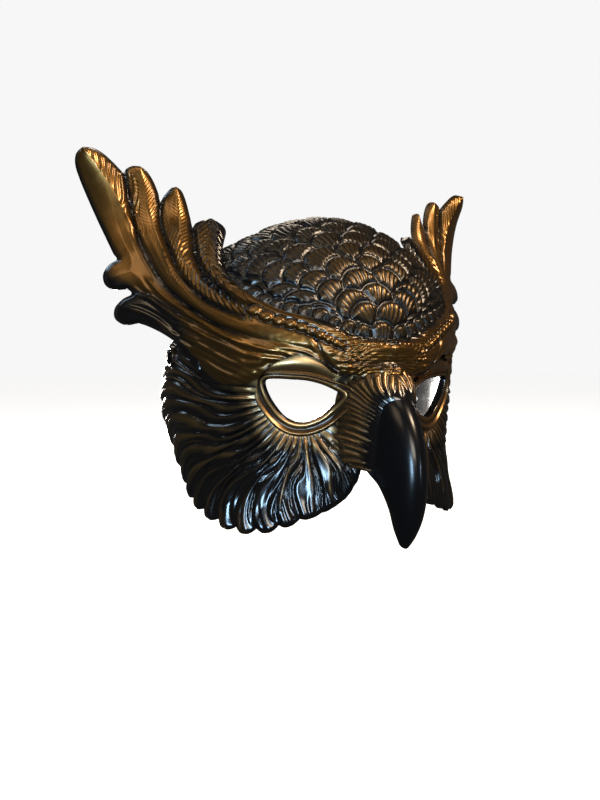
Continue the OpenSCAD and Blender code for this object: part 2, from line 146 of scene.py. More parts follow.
def cheek_edge(w, depth=3.0):
    w = np.asarray(w, float)
    p = cr(CHEEK, w)
    q = cr(CHEEK, w + 0.02)
    t = (q - p) / np.linalg.norm(q - p, axis=-1, keepdims=True)
    k = depth * sst((w - 2) / 4) * np.where(w > 14, mix(1, 0.7, (w - 14) / 4), 1.0)
    f = w - np.floor(w)
    return p + np.stack([t[..., 1], -t[..., 0]], -1) * (k * np.sin(PI * f) ** 0.7)[..., None]


# ---------------------------------------------------------------- plume surface
P_LOW = [[0.2, -8], [12, -9.5], [24, -9], [33, -2.5], [43.5, 1.5], [54.5, -2.5], [62.5, -11.5], [72, -14.8],
         [80.5, -11], [87, -0.5], [92, 8], [99.5, 14.5], [108, 18.8], [115, 18.2], [119.8, 22], [119.6, 28],
         [115.5, 33], [111, 35.8], [113, 38.6], [119.5, 38.6], [124, 41.5], [125, 47.5], [122, 53], [117.5, 56.3],
         [119.2, 60], [121.6, 66.5], [124.8, 75], [127.8, 83], [130.8, 91], [133.8, 99], [136, 105],
         [137.7, 110.5], [138, 114.5], [137.2, 117.8], [135.4, 119.8]]
P_UP = [[0.2, 8.5], [11, 10], [20.5, 12.5], [29.5, 17.5], [39.5, 20.8], [46, 22.5], [51.5, 25], [56.5, 28.5],
        [60.5, 33], [64, 38], [67, 44.5], [68.5, 51], [67, 59], [63.8, 67], [61.2, 74], [63, 79],
        [68.5, 80.2], [74, 78], [77, 74.5], [77.8, 82.5], [79.2, 91], [81.5, 98], [85, 100], [89.5, 95.5],
        [92.8, 90.5], [94.2, 97], [97, 105], [101, 110.8], [106, 112.2], [110, 110.5], [112.3, 107.8],
        [118, 113], [124, 118], [129.5, 120.6], [134, 120.8]]
P_MID = [[0.2, 0.3], [11.5, 0.3], [22.3, 1.8], [31.3, 7.5], [41.5, 11], [50.3, 10], [57, 6.8], [64.3, 6.8],
         [70.5, 11], [75.5, 18.8], [80, 25.5], [84, 31], [88, 34], [91, 36], [92.7, 37.5], [94, 38.8],
         [95.2, 39.8], [96.2, 41], [97.5, 44], [98.7, 48], [100, 52], [101.2, 55.5], [102.3, 58.5], [103.5, 61.5],
         [105, 65], [107, 69.5], [110, 74.5], [113, 79.5], [116, 84], [119, 88], [122.5, 91.5],
         [127, 98.5], [130.5, 108], [133, 115.5], [134.7, 119.6]]
P_Y = np.array([[-97, -92, -84, -69, -43, -12, 6, 18],
                [-97, -92, -84, -69, -44, -15, 4, 17],
                [-90, -87, -79, -64, -40, -13, 6, 17],
                [-82, -79, -70, -51, -30, -8, 10, 20],
                [-64, -61, -50, -29, -14, 1, 14, 24],
                [-40, -38, -28, -9, 2, 11, 19, 28],
                [-24, -20, -12, -2, 7, 15, 21, 29],
                [-14, -10, -4, 3, 10, 17, 20, 25],
                [-10, -6, 0, 6, 12, 18, 20, 24]], float)


def p_sheet(x, z):
    """Bicubic depth of the plume's front."""
    u = np.clip(np.asarray(x, float) / 20, 0, 7)
    v = np.clip((np.asarray(z, float) + 20) / 20, 0, 8)

    def weights(t, n):
        i = np.clip(np.floor(t).astype(int), 0, n - 1)
        f = t - i
        w = np.stack([0.5 * (-f + 2 * f ** 2 - f ** 3), 1 + 0.5 * (-5 * f ** 2 + 3 * f ** 3),
                      0.5 * (f + 4 * f ** 2 - 3 * f ** 3), 0.5 * (-f ** 2 + f ** 3)], -1)
        idx = np.stack([np.maximum(i - 1, 0), i, i + 1, np.minimum(i + 2, n)], -1)
        return w, idx
    wu, iu = weights(u, 7)
    wv, iv = weights(v, 8)
    out = 0.0
    for a in range(4):
        for b in range(4):
            out = out + wv[..., a] * wu[..., b] * P_Y[iv[..., a], iu[..., b]]
    return out


def under_r(x, z, n=3):
    if n == 0:
        return np.full(np.shape(x), SR + 2.0)
    r = under_r(x, z, n - 1)
    h = np.where(z > 0, np.sqrt(np.maximum(r * r - z * z, 1)), r)
    s = np.arcsin(np.minimum(x / h, 1)) * SR
    l = np.where(z > 0, np.arcsin(np.clip(z / r, -1, 1)) * SR, z)
    return np.maximum(face_r(s, l), np.where(z > 0, mix(SR, CR, sst(z / 6)), 0))


def under_y(x, z):
    r = under_r(x, z) + 0.6
    h = r * r - x * x - np.where(z > 0, z * z, 0)
    return np.where(h > 4, -np.sqrt(np.maximum(h, 4)), np.where(h > -300, 60 * (4 - h) / 300 - 2, 200))


def p_front(x, z):
    return np.minimum(p_sheet(x, z), under_y(x, z) - 2.2)


def p_back(x, z):
    return np.minimum(p_sheet(x, z) + 4.0, under_y(x, z) - 0.3)


# ---------------------------------------------------------------- helpers for relief
def dense(pts, n=12):
    """A list of points made smooth and dense."""
    p = np.asarray(pts, float)
    return cr(p, np.linspace(0, len(p) - 1, (len(p) - 1) * n + 1))


def to_line(P, line):
    """Distance from each 2-D point to a polyline, arc length of the nearest point, and side (+ left of the line)."""
    P = np.asarray(P, float).reshape(-1, 2)
    best = np.full(len(P), 1e9)
    arc = np.zeros(len(P))
    side = np.zeros(len(P))
    s0 = 0.0
    for a, b in zip(line[:-1], line[1:]):
        d = b - a
        L = float(np.hypot(*d))
        if L < 1e-9:
            continue
        t = np.clip(((P - a) @ d) / (L * L), 0, 1)
        q = P - (a + t[:, None] * d)
        r = np.hypot(q[:, 0], q[:, 1])
        m = r < best
        best = np.where(m, r, best)
        arc = np.where(m, s0 + t * L, arc)
        side = np.where(m, np.sign(d[0] * q[:, 1] - d[1] * q[:, 0]), side)
        s0 += L
    return best, arc, side


def hash01(k, seed=0.0):
    """A fixed pseudo-random number from 0 to 1 for each whole number."""
    v = np.sin(np.asarray(k, float) * 127.1 + seed * 311.7 + 4.2) * 43758.5453
    return v - np.floor(v)


def vnoise(x, y, seed=0.0):
    """Smooth 2-D value noise, 0 to 1, one cell per unit."""
    x = np.asarray(x, float)
    y = np.asarray(y, float)
    i, j = np.floor(x), np.floor(y)
    fx, fy = sst(x - i), sst(y - j)
    h = lambda a, b: hash01(a * 57.0 + b * 131.0, seed)
    return mix(mix(h(i, j), h(i + 1, j), fx), mix(h(i, j + 1), h(i + 1, j + 1), fx), fy)


# ---------------------------------------------------------------- the face
def face_grid(nv=54):
    cols, tag, wv = [], [], []

    def put(p, kind, w=None):
        p = np.atleast_2d(p)
        for i, q in enumerate(p):
            cols.append(q)
            tag.append(kind)
            wv.append(np.nan if w is None else w[i])
    put([[0, mix(6, -12, i / 20)] for i in range(20)], 0)
    put(cr(NOTCH, np.linspace(0, 5, 60, endpoint=False)), 1)
    w = np.linspace(0, 18, 18 * 24, endpoint=False)
    put(cheek_edge(w), 2, w)
    k = np.array([CHEEK[18], [155, 17], [161, 25]], float)
    put(k[0] + (k[1] - k[0]) * np.linspace(0, 1, 6, endpoint=False)[:, None], 3)
    put(k[1] + (k[2] - k[1]) * np.linspace(0, 1, 6, endpoint=False)[:, None], 3)
    first = ab_sl(SIDE_A, rear_b(SIDE_A))
    put(k[2] + (first - k[2]) * np.linspace(0, 1, 8, endpoint=False)[:, None], 3)
    put(ab_sl(SIDE_A, np.linspace(float(rear_b(SIDE_A)), 80, 42, endpoint=False)), 4)
    a = np.concatenate([np.linspace(SIDE_A, 46, 60, endpoint=False), np.linspace(46, 0, 84, endpoint=False)])
    put(ab_sl(a, seam_b(a)), 5)
    out = np.array(cols)
    tag = np.array(tag)
    wv = np.array(wv)
    eye = crc(EYE, np.linspace(0, len(EYE), 2400, endpoint=False))
    ea = np.unwrap(np.arctan2(eye[:, 1] - EYE_C[1], eye[:, 0] - EYE_C[0]))
    er = np.hypot(eye[:, 0] - EYE_C[0], eye[:, 1] - EYE_C[1])
    if ea[-1] < ea[0]:
        ea, er = ea[::-1], er[::-1]
    oa = np.arctan2(out[:, 1] - EYE_C[1], out[:, 0] - EYE_C[0])
    span = ea[0]
    oa2 = (oa - span) % (2 * PI) + span
    rr = np.interp(oa2, np.concatenate([ea, ea[:1] + 2 * PI]), np.concatenate([er, er[:1]]))
    inn = EYE_C + np.stack([np.cos(oa), np.sin(oa)], -1) * rr[:, None]
    r = (np.arange(nv + 1) / nv) ** 1.12
    q = inn[:, None, :] * (1 - r[None, :, None]) + out[:, None, :] * r[None, :, None]
    ln = np.hypot(*(out - inn).T)
    D = ln[:, None] * r[None, :]
    E = ln[:, None] * (1 - r[None, :])
    return dict(q=q, out=out, inn=inn, tag=tag, w=wv, r=r, D=D, E=E, ang=oa, ln=ln)


def face_relief(g):
    """Height over the plain shell and amount of bronze at every grid point."""
    q, D, E = g["q"], g["D"], g["E"]
    s, l = q[..., 0], q[..., 1]
    v = np.broadcast_to(g["r"][None, :], s.shape)
    tag = g["tag"][:, None]
    # cheeks run on past both ends of the scalloped edge, so the ridges don't stop dead
    w = g["w"].copy()
    nn = np.where(g["tag"] == 1)[0]
    w[nn] = np.linspace(-5, 0, len(nn), endpoint=False)
    up = np.where(g["tag"] >= 3)[0]
    w[up] = 18 + np.arange(len(up)) * 0.07
    mid = np.where(g["tag"] == 0)[0]
    w[mid] = np.linspace(-6.4, -5, len(mid), endpoint=False)
    w = np.broadcast_to(w[:, None], s.shape)
    amp = mix(-0.25, 0.9, sst((w - 1.5) / 5)) * (1 - 0.35 * sst((w - 13) / 4))
    ex = mix(0.6, 0.95, sst((w - 6) / 7))
    shift = amp * np.sin(2 * PI * np.power(np.clip(v, 0, 1), ex)) * (1 - 0.15 * sst((v - 0.9) / 0.1))
    shift = shift + 0.14 * np.sin(3.1 * w + 5 * v) * np.sin(PI * v) + 0.34 * (vnoise(w * 0.7, v * 3.2, 12) - 0.5) * np.sin(PI * v)
    phi = w + shift
    k = np.floor(phi)
    f = phi - k
    c = mix(0.34 + 0.34 * hash01(k, 1), 0.5, sst((v - 0.72) / 0.25))
    gw = np.where(f < c, 0.5 * f / c, 0.5 + 0.5 * (f - c) / (1 - c))
    main = np.sin(PI * gw) ** 0.8 * (0.86 + 0.14 * np.sin(6 * v + 9 * hash01(k, 6)))
    k2 = np.round(phi)
    f2 = phi - k2
    ins = np.exp(-((f2 + 0.05 * np.sin(7 * v + k2)) / 0.15) ** 2) * sst((v - 0.26 - 0.2 * hash01(k2, 2)) / 0.16)
    ins = ins * mix(0.95, 0.35, sst((v - 0.78) / 0.2)) * (0.65 + 0.6 * hash01(k2, 3))
    notch = 0.34 * np.exp(-((f - 0.5) / 0.07) ** 2) * sst((v - 0.66) / 0.2)
    size = (0.8 + 1.3 * sst(v / 0.75)) * (0.85 + 0.35 * hash01(k, 4))
    cheek_on = sst((w + 0.6) / 1.6) * (1 - sst((w - 17.2) / 2.0)) * sst((D - 6.5) / 4.5)
    relief = np.maximum(main * (1 - notch), ins * 0.82)
    ridge = (relief - 0.5) * size * 1.45 * mix(1, 0.62, sst((3.5 - E) / 3.5))
    # a fine second crest along one flank of each ridge
    flank = np.exp(-((gw - 0.74) / 0.05) ** 2) * sst((v - 0.2) / 0.2) * 0.28
    hair = np.sin(2 * PI * (gw * 5 + 0.9 * vnoise(phi * 2.5, v * 7, 15)))
    h = cheek_on * (ridge + flank * size * 0.5 + 0.028 * hair * sst((relief - 0.25) / 0.3) * (0.4 + 0.6 * sst(v / 0.4)))
    # short leaf-like rays round the outside of the eye
    ray = np.exp(-((v - 0.17) / 0.09) ** 2) * (0.5 + 0.5 * np.cos(4 * PI * (w + 0.5 * shift))) * sst((w - 1) / 2) * (1 - sst((w - 15) / 2))
    h = h + 0.5 * ray * sst((D - 6) / 3)
    # rolled edge of the cheeks
    roll = sst((3.2 - E) / 3.2) ** 1.5
    h = h - np.where(tag <= 3, 1.15, 0.0) * roll
    # collar of bristles round the root of the beak
    nt = dense(NOTCH, 14)
    dn, tn, sd = to_line(q, nt)
    dn, tn = dn.reshape(s.shape), tn.reshape(s.shape)
    on = (s < 34) & (l > -66) & (l < 12)
    low = 1 - sst((-l - 45) / 9)
    body = sst((13.6 - dn + 1.6 * np.sin(tn * 0.35)) / 2.6) * low
    wob = 1.5 * vnoise(dn * 0.16, tn * 0.11, 7) + 0.5 * vnoise(dn * 0.4, tn * 0.3, 8)
    ph = (tn + 0.62 * dn + 2.2 * wob) / 2.5
    br = np.abs(np.sin(PI * ph)) ** 0.75
    bk = np.floor(ph)
    reach = 0.6 + 0.8 * hash01(bk, 11)
    bris = br * sst((dn + 0.6) / 2.0) * sst((13.4 * reach + 2 - dn) / 3.5) * low
    collar = on * body * (-0.25 + 0.55 * bris)
    keep = 1 - on * body
    h = h * keep + collar
    # smooth lid over the eye, swept up from the outer corner
    upm = sst((np.sin(g["ang"]) - 0.12) / 0.3)[:, None] * (tag >= 3)
    lid = 1.5 * np.exp(-((D - 6.5) / 4.2) ** 2) * upm
    h = h * (1 - 0.9 * upm) + lid
    # relief cleared to the plain shell round each temple, where the boss sits
    x = fpt(s, l)
    rr = np.hypot(x[..., 1], x[..., 2])
    temple = (x[..., 0] > 60)
    bo = temple * sst((9.0 - rr) / 2.5)
    h = h * (1 - bo) + bo * 0.0
    # bronze
    crest = cheek_on * sst((relief - 0.55) / 0.42)
    rub = 0.45 + 0.55 * sst((vnoise(w * 1.7, v * 6, 21) - 0.2) / 0.6)
    sideb = sst((w - 8) / 5)
    gold = crest * rub * mix(0.50, 0.47, sideb) + 0.09 * crest * sst(hair) * mix(0.4, 1, sideb)
    gold = gold + cheek_on * 0.19 * sideb * (0.4 + 0.6 * sst((relief - 0.2) / 0.4))
    gold = gold + cheek_on * 0.34 * np.exp(-((gw - 0.52) / 0.06) ** 2) * sst((v - 0.15) / 0.2) * (0.4 + 0.6 * hash01(k, 9))
    near = 1 - sst((D - 7 - 6 * vnoise(w * 1.5, 0 * w, 5)) / 12)
    gold = np.maximum(gold, near * (0.32 + 0.46 * sst((relief - 0.35) / 0.5)))
    gold = np.where(tag >= 3, np.maximum(gold, 0.48 + 0.38 * upm), gold)
    # painted shade: the face is darkened nearly to black where it lies behind the plume at the temple
    gold = gold * (1 - 0.88 * sst((x[..., 0] - 66) / 8) * sst((x[..., 1] + 38) / 10) * (tag >= 3))
    cg = body * on
    collar_gold = 0.38 + 0.34 * bris
    gold = gold * (1 - cg) + cg * collar_gold
    lip = sst((5 - E) / 3) * (w < 4) * (w > -3)
    gold = gold * (1 - 0.85 * lip)
    return np.maximum(h, -1.85), np.clip(gold, 0, 1)


# ---------------------------------------------------------------- the plumes
G12 = [(112.3, 108), (111, 102.8), (109, 86.8), (107.1, 74.1), (105.3, 64.6), (101, 51.8), (96.9, 41.6), (92.9, 35.7),
       (85.8, 26.6), (78, 18.7), (70.2, 13.3), (62, 9.8), (54, 7.6), (46, 6.2)]
G23 = [(92.8, 91), (93.2, 86), (93.5, 80.2), (93, 71.3), (91, 59.7), (89.1, 48.4), (84.7, 38.3), (79.7, 30.8),
       (71.9, 24.3), (65.5, 20.3)]
G34 = [(77, 75), (77.8, 71), (79.1, 61.6), (79.4, 52.8), (77.7, 45), (75, 39.1), (70.7, 33.3), (66, 28.2), (62.5, 26)]
F1R = [(134.5, 120), (131.6, 117), (125.8, 108.9), (118.5, 97.3), (111.9, 82.6), (107.4, 74)]
F2R = [(103.5, 113), (102.8, 109.9), (101.5, 102), (100.1, 89.5), (98, 77.6), (96, 67.8), (93.6, 58.8), (91, 50.1), (87, 41), (81.5, 33)]
F3R = [(84.5, 102), (83.2, 96.8), (83.2, 87.1), (83.4, 76.5), (84.6, 67.3), (85.2, 58.3), (83.6, 49)]
F4R = [(65.5, 80), (67.6, 75), (70.6, 68), (73.2, 59.5), (74.1, 50.7), (72.4, 43.8), (68.6, 37.1), (63.5, 31.5)]
L3 = [(105.2, 48), (99.6, 38.2), (94.5, 31.4), (86.1, 22.9), (78.2, 15.7), (71, 9.8), (63.3, 5.6), (55, 3.3), (47, 1.2), (40, -1.8), (34, -6)]
L4 = [(112.2, 35.9), (103.3, 32.8), (97.8, 28), (90.3, 20.8), (83.8, 14.5), (77.5, 8.6), (69, 3), (60, -0.2), (52, -1)]
L5 = [(61.6, 8.2), (54.3, 5.4), (46.8, 3.6), (40.1, 1.8), (35.6, -2.4), (31.2, -7.4)]
BROW = [(38.2, 12.5), (35.9, 6.6), (34.2, 1.6), (30.3, -4.2), (24.5, -8.2), (18, -9.4)]
SA = [(118.5, 27), (108, 25.5), (98, 18.5), (89.5, 6.7), (82.2, -1.9), (76.1, -7.3), (69, -10.2), (63.2, -8.5)]
SB = [(93, 16), (86, 10), (80.2, 4.6), (73.1, -1.2), (66.7, -3.4), (59.5, -2.4)]
SC = [(82, -8.5), (76, -11.6), (70, -12.8), (64, -11)]
AM = [(122.5, 45.5), (115, 44), (109.5, 40.5), (104, 35.5)]
BEADS = [(60.4, 23.2), (56.0, 20.0), (51.2, 17.8), (46.6, 16.3), (42.2, 14.6), (38.2, 12.6), (34.4, 10.5), (30.9, 8.6), (27.8, 7.0), (25.0, 5.6)]


def plume_grid(nk=600, nt=120):
    k = np.linspace(0, len(P_LOW) - 1, nk + 1)
    lo, up = cr(P_LOW, k), cr(P_UP, k)
    # rows a little denser toward both edges
    t = np.linspace(0, 1, nt + 1)
    t = t - 0.09 * np.sin(2 * PI * t)
    mi = cr(P_MID, k)
    tt = t[None, :, None]
    q = lo[:, None, :] * (1 - tt) ** 2 + 2 * tt * (1 - tt) * mi[:, None, :] + up[:, None, :] * tt ** 2
    soft = np.clip(4 * tt * (1 - tt), 0, 1) * 0.5
    for _ in range(40):
        m = q[1:-1] * (1 - soft) + 0.5 * soft * (q[:-2] + q[2:])
        q = np.concatenate([q[:1], m, q[-1:]])
    q[..., 0] = np.where(k[:, None] < 1, q[..., 0] - 0.16 * (1 - k[:, None]), q[..., 0])
    return q, k, t


def plume_relief(q):
    sh = q.shape[:2]
    x, z = q[..., 0].ravel(), q[..., 1].ravel()
    P = np.stack([x, z], -1)
    edge_pts = np.vstack([dense(P_LOW, 10)[8:], dense(P_UP, 10)[::-1][:-8]])
    de, _, _ = to_line(P, edge_pts)
    d12, a12, s12 = to_line(P, dense(G12))
    d23, a23, s23 = to_line(P, dense(G23))
    d34, a34, s34 = to_line(P, dense(G34))
    r1, b1, _ = to_line(P, dense(F1R))
    r2, b2, t2 = to_line(P, dense(F2R))
    r3, b3, t3 = to_line(P, dense(F3R))
    r4, b4, t4 = to_line(P, dense(F4R))
    n3, c3, _ = to_line(P, dense(L3))
    n4, c4, _ = to_line(P, dense(L4))
    n5, c5, _ = to_line(P, dense(L5))
    nb, cb, sb = to_line(P, dense(BROW))
    na, ca, sa = to_line(P, dense(SA))
    nsb, csb, _ = to_line(P, dense(SB))
    nsc, csc, _ = to_line(P, dense(SC))
    nam, cam_, _ = to_line(P, dense(AM))
    horn = sst((x - 58) / 14)                      # 0 on the brow band, 1 on the horn
    dg = np.minimum(np.minimum(d12, d23), np.minimum(d34, de))
    dr = np.minimum(np.minimum(r1, r2), np.minimum(r3, r4))
    rho = dg / (dg + dr + 0.4)
    high = sst((z - 26) / 26) * sst((x - 52) / 10)
    rnd = np.sin(0.5 * PI * np.clip(rho, 0, 1))
    h = high * 3.4 * (0.72 * rnd + 0.28 * rho - 0.28)
    # rolling swell between the long grooves lower down
    low = (1 - high)
    h = h + low * 1.0 * (1 - np.exp(-dg / 3.2)) * sst((x - 40) / 25)
    # long grooves, each with a soft raised lip on its lower side
    for d, sd, a, w, lip in ((d12, s12, 1.15, 1.45, 0.3), (d23, s23, 1.05, 1.35, 0.25), (d34, s34, 1.6, 1.8, 0.3)):
        dies = sst((x - 52) / 22)
        h = h + dies * (lip * np.exp(-((d - 2.5) / 1.0) ** 2) - a * np.exp(-(d / w) ** 2))
    # thin raised lines along the band
    for d, c_, a, w in ((n3, c3, 0.85, 0.95), (n4, c4, 0.8, 0.9), (n5, c5, 0.6, 0.8), (na, ca, 0.9, 1.4), (nsb, csb, 0.6, 1.1), (nsc, csc, 0.5, 1.0)):
        h = h + sst(c_ / 12) * (a * np.exp(-(d / w) ** 2) - 0.35 * np.exp(-((d - 2.2) / 1.0) ** 2))
    # rounded lobes
    lobe_a = np.exp(-(((x - 119) / 8) ** 2 + ((z - 45) / 7) ** 2))
    lobe_b = np.exp(-(((x - 113) / 8) ** 2 + ((z - 27.5) / 6) ** 2))
    h = h + 1.1 * lobe_a + 1.1 * lobe_b - 0.5 * np.exp(-(nam / 1.3) ** 2) * sst((112 - x) / 6)
    # barbs
    m_strip = sst(d23 / 1.2) * sst(d34 / 1.2) * (s23 * s34 < 0) * (1 - sst((z - 62) / 14)) * sst((x - 60) / 4) * (z > 12)
    strip = m_strip * sst((9.5 - d23) / 3)
    barb = np.sin(2 * PI * (a23 + 1.35 * d23) / 3.3)
    h = h + 0.42 * strip * barb * (s23 > -2)
    m4 = sst(d34 / 1.2) * (s34 > 0 if False else 1) * np.exp(-(r4 / 5.5) ** 4) * (d34 < 14)
    right4 = (s34 * 1.0)
    in4 = (r4 < r3) & (x < 82)
    barb4 = np.sin(2 * PI * (b4 - 1.2 * r4) / 4.4)
    h = h + 0.55 * in4 * sst(r4 / 1.0) * sst((8 - r4) / 3) * barb4 * high
    in1 = (r1 < 14) & (x > 104) & (z > 66)
    barb1 = np.sin(2 * PI * (b1 + 1.6 * r1) / 5.4 + 1.4 * np.sin(b1 * 0.31))
    inner1 = sst((P @ np.array([-0.85, 0.5]) + 43) / 6)
    _, _, t1 = to_line(P, dense(F1R))
    up1 = (t1 < 0)
    h = h + 0.34 * in1 * up1 * sst(r1 / 1.5) * sst((de - 0.5) / 3) * barb1
    f2 = (r2 < 9) & (x > 86) & (z > 40)
    h = h + 0.13 * f2 * np.sin(2 * PI * (b2 + 1.3 * r2) / 2.3) * sst(r2 / 2) * sst(d23 / 2)
    f3 = (r3 < 8) & (x < 94) & (z > 52) & (x > 76)
    h = h + 0.14 * f3 * np.sin(2 * PI * (b3 + 1.2 * r3) / 2.4) * sst(r3 / 1.5)
    # beads along the brow's upper edge
    bead = np.zeros(len(x))
    for i, (bx, bz) in enumerate(BEADS):
        rr = 3.1 - 0.13 * i
        d = np.hypot((x - bx) / 1.0, (z - bz) / 0.92)
        b = np.sqrt(np.clip(1 - (d / rr) ** 2, 0, 1)) * 1.7 - 0.5 * np.exp(-((d - rr - 0.4) / 0.8) ** 2)
        bead = np.where(np.abs(b) > np.abs(bead), b, bead)
    # chevrons toward the middle of the brow
    chev = 0.0
    for i, (cx, cz) in enumerate([(24, 3.4), (20.6, 2.8), (17.2, 3.2), (22, -0.8), (18.2, -1.2)]):
        for sg in (-1, 1):
            u = (x - cx) * 0.75 + (z - cz) * 0.66 * sg
            vv = -(x - cx) * 0.66 * sg + (z - cz) * 0.75
            chev = chev + 0.55 * np.exp(-(u / 2.2) ** 2 - (vv / 0.55) ** 2)
    band = 1 - sst((x - 58) / 8)
    h = h + bead + chev * band
    for i, (cx, cz, rr) in enumerate([(22.4, 5.2, 2.0), (19.4, 5.9, 1.9), (16.2, 6.2, 1.8), (13.2, 5.9, 1.9), (10.2, 6.4, 1.8), (7.2, 6.6, 1.9), (4.2, 6.9, 1.8), (1.2, 7.0, 1.8)]):
        dd = np.hypot(x - cx, (z - cz) / 0.75)
        h = h + 0.50 * np.exp(-(dd / (0.62 * rr)) ** 2) - 0.15 * np.exp(-((dd - rr) / 0.6) ** 2)
    # ropy wrinkles that hug the bead row and run down to the lid
    rope = np.sin(2 * PI * (cb / 5.2 + 0.9 * vnoise(x * 0.15, z * 0.15, 17)))
    h = h + 0.18 * rope * np.exp(-((nb - 3.4) / 2.0) ** 2) * (sb < 0) * sst((34 - x) / 4)
    # brow edge: a step down from the middle panel to the lid
    h = h - 0.65 * np.exp(-(nb / 1.0) ** 2) + 0.5 * np.exp(-((nb - 2.2) / 1.2) ** 2) * (sb > 0)
    # the swollen middle of the brow with wrinkles beside it
    h = h + 2.6 * np.exp(-(x / 13) ** 2 - ((z - 4.0) / 3.6) ** 2) - 1.1 * np.exp(-(x / 16) ** 2 - ((z + 3.2) / 1.8) ** 2)
    wr = np.sin(2 * PI * (z + 0.35 * x + 1.2 * np.sin(x * 0.4)) / 2.7)
    h = h + 0.22 * wr * np.exp(-((x - 17) / 8) ** 2) * sst((8 - z) / 4)
    h = h + 0.12 * (vnoise(x * 0.7, z * 0.7, 3) - 0.5) * band
    # folded skin: irregular creases that run along the brow
    midb = sst((34 - x) / 12)
    cz = z + 1.6 * vnoise(x * 0.13, z * 0.2, 91) + 0.05 * x
    cre = 1 - np.abs(2 * vnoise(x * 0.16, cz * 0.62, 92) - 1)
    cre2 = 1 - np.abs(2 * vnoise(x * 0.34, cz * 1.25, 93) - 1)
    fold = 0.55 * (cre ** 3 - 0.3) + 0.14 * (cre2 ** 2 - 0.4)
    h = h + midb * fold
    comb = np.sin(2 * PI * (z + 0.8 * vnoise(x * 0.2, z * 0.3, 94)) / 1.5)
    h = h + 0.09 * comb * sst((24 - x) / 8) * sst((2.5 - z) / 2) * sst((z + 8) / 2)
    # fine crow's-foot streaks at the lower rear of the band
    st = np.sin(2 * PI * (z * 0.9 - x * 0.55 + 2.4 * vnoise(x * 0.06, z * 0.09, 4)) / 3.1)
    h = h + 0.30 * st * sst((x - 62) / 6) * sst((96 - x) / 8) * sst((12 - (z - (x - 62) * 0.75)) / 5)
    # edges: rounded where free, faded down to the face where the band lies on it
    free = sst((x - 84) / 8)
    up_side = z > np.interp(x, [0, 20, 40, 60, 64, 80], [0, 2, 10, 20, 35, 60])
    onface = (1 - free)
    temple = sst((x - 58) / 8) * sst((10 - z) / 8)
    h = h * (1 - 0.55 * temple) - 0.9 * temple
    h = h - onface * (~up_side) * mix(1.7, 1.5, temple) * sst((6.5 - de) / 6.5) ** 1.2
    h = h - onface * up_side * 1.6 * sst((3.0 - de) / 3.0) * (x < 66)
    h = h - 1.5 * sst((2.6 - de) / 2.6) ** 2 * np.maximum(free, (x > 58) * (z > 30))
    # bronze
    gold = 0.70 + 0.16 * (vnoise(x * 0.12, z * 0.12, 9) - 0.5) + 0.12 * high * np.exp(-(dr / 3.0) ** 2)
    gold = gold - 0.16 * high * sst((4.5 - de) / 4.5)
    for d, w in ((d12, 1.7), (d23, 1.5), (d34, 2.0)):
        gold = gold - 0.55 * np.exp(-(d / w) ** 2) * sst((x - 52) / 22)
    gold = gold - 0.30 * np.exp(-(nb / 1.1) ** 2)
    lobes = sst((x - 82) / 12) * sst((50 - z) / 8) * sst(((x - 60) * 0.62 + 12 - z) / 6)
    gold = gold - 0.27 * lobes
    gold = gold - 0.26 * sst((x - 62) / 10) * sst((10 - (z - (x - 66) * 0.8)) / 8)
    # painted shadow: the curled feather F4 is darkened further on its side toward the middle, beside the curl; the rest
    # of the next line is the feather's own dark paint with bronze barbs
    f4_painted_shade = high * in4 * sst((71 - x) / 4) * (z > 38)
    gold = gold - 0.40 * in4 * high * (1 - 0.9 * sst(barb4)) - 0.32 * f4_painted_shade
    gold = gold - 0.25 * strip * sst(-barb)
    gold = gold + 0.22 * np.exp(-(n3 / 1.0) ** 2) * sst(c3 / 14) + 0.18 * np.exp(-(n4 / 1.0) ** 2) * sst(c4 / 14) + 0.1 * np.exp(-(na / 1.3) ** 2) * sst(ca / 12)
    gold = gold - 0.35 * ((bead < -0.15) * 1.0) - 0.5 * np.exp(-(x / 16) ** 2 - ((z + 3.6) / 2.0) ** 2)
    gold = gold - 0.30 * sst((1.6 - de) / 1.6)
    gold = gold + 0.22 * midb * fold
    # painted shadow: a dark band along the upper edge of the brow's middle, where it meets the crown's lower edge
    ut = np.interp(x, [u[0] for u in P_UP[:9]], [u[1] for u in P_UP[:9]])
    gold = gold - 0.40 * sst((4.6 - (ut - z)) / 3.0) * sst((44 - x) / 10)
    return np.clip(h, -3.0, 4.5).reshape(sh), np.clip(gold, 0.04, 1).reshape(sh)


# ---------------------------------------------------------------- the crown
def crown_grid(nj=330, ni=250):
    u = np.linspace(-1, 1, nj + 1)
    a = (SIDE_A - 0.35) * (1.18 * u - 0.18 * u ** 3)
    b0 = seam_b(a) + 0.25 / np.maximum(dcos(a), 0.5)
    b1 = rear_b(a)
    t = np.linspace(0, 1, ni + 1)
    A = np.broadcast_to(a[:, None], (nj + 1, ni + 1))
    B = b0[:, None] + (b1 - b0)[:, None] * t[None, :]
    return A, B


def cpt(a, b, h=0.0):
    """Point on the plain dome, before its top is flattened."""
    n = np.stack([dsin(a), -dcos(a) * dcos(b), dcos(a) * dsin(b)], -1)
    return n * (CR + np.asarray(h))[..., None]


def crown_flat(p):
    """The flattened dome: the top sinks, more toward the back."""
    drop = (np.clip(6.2 + 0.13 * p[..., 1], 1.5, 10.5) * sst((p[..., 2] - 28) / 48)
            * (1 - sst((np.abs(p[..., 0]) - 42) / 32)))
    return p - np.stack([0 * drop, 0 * drop, drop], -1)


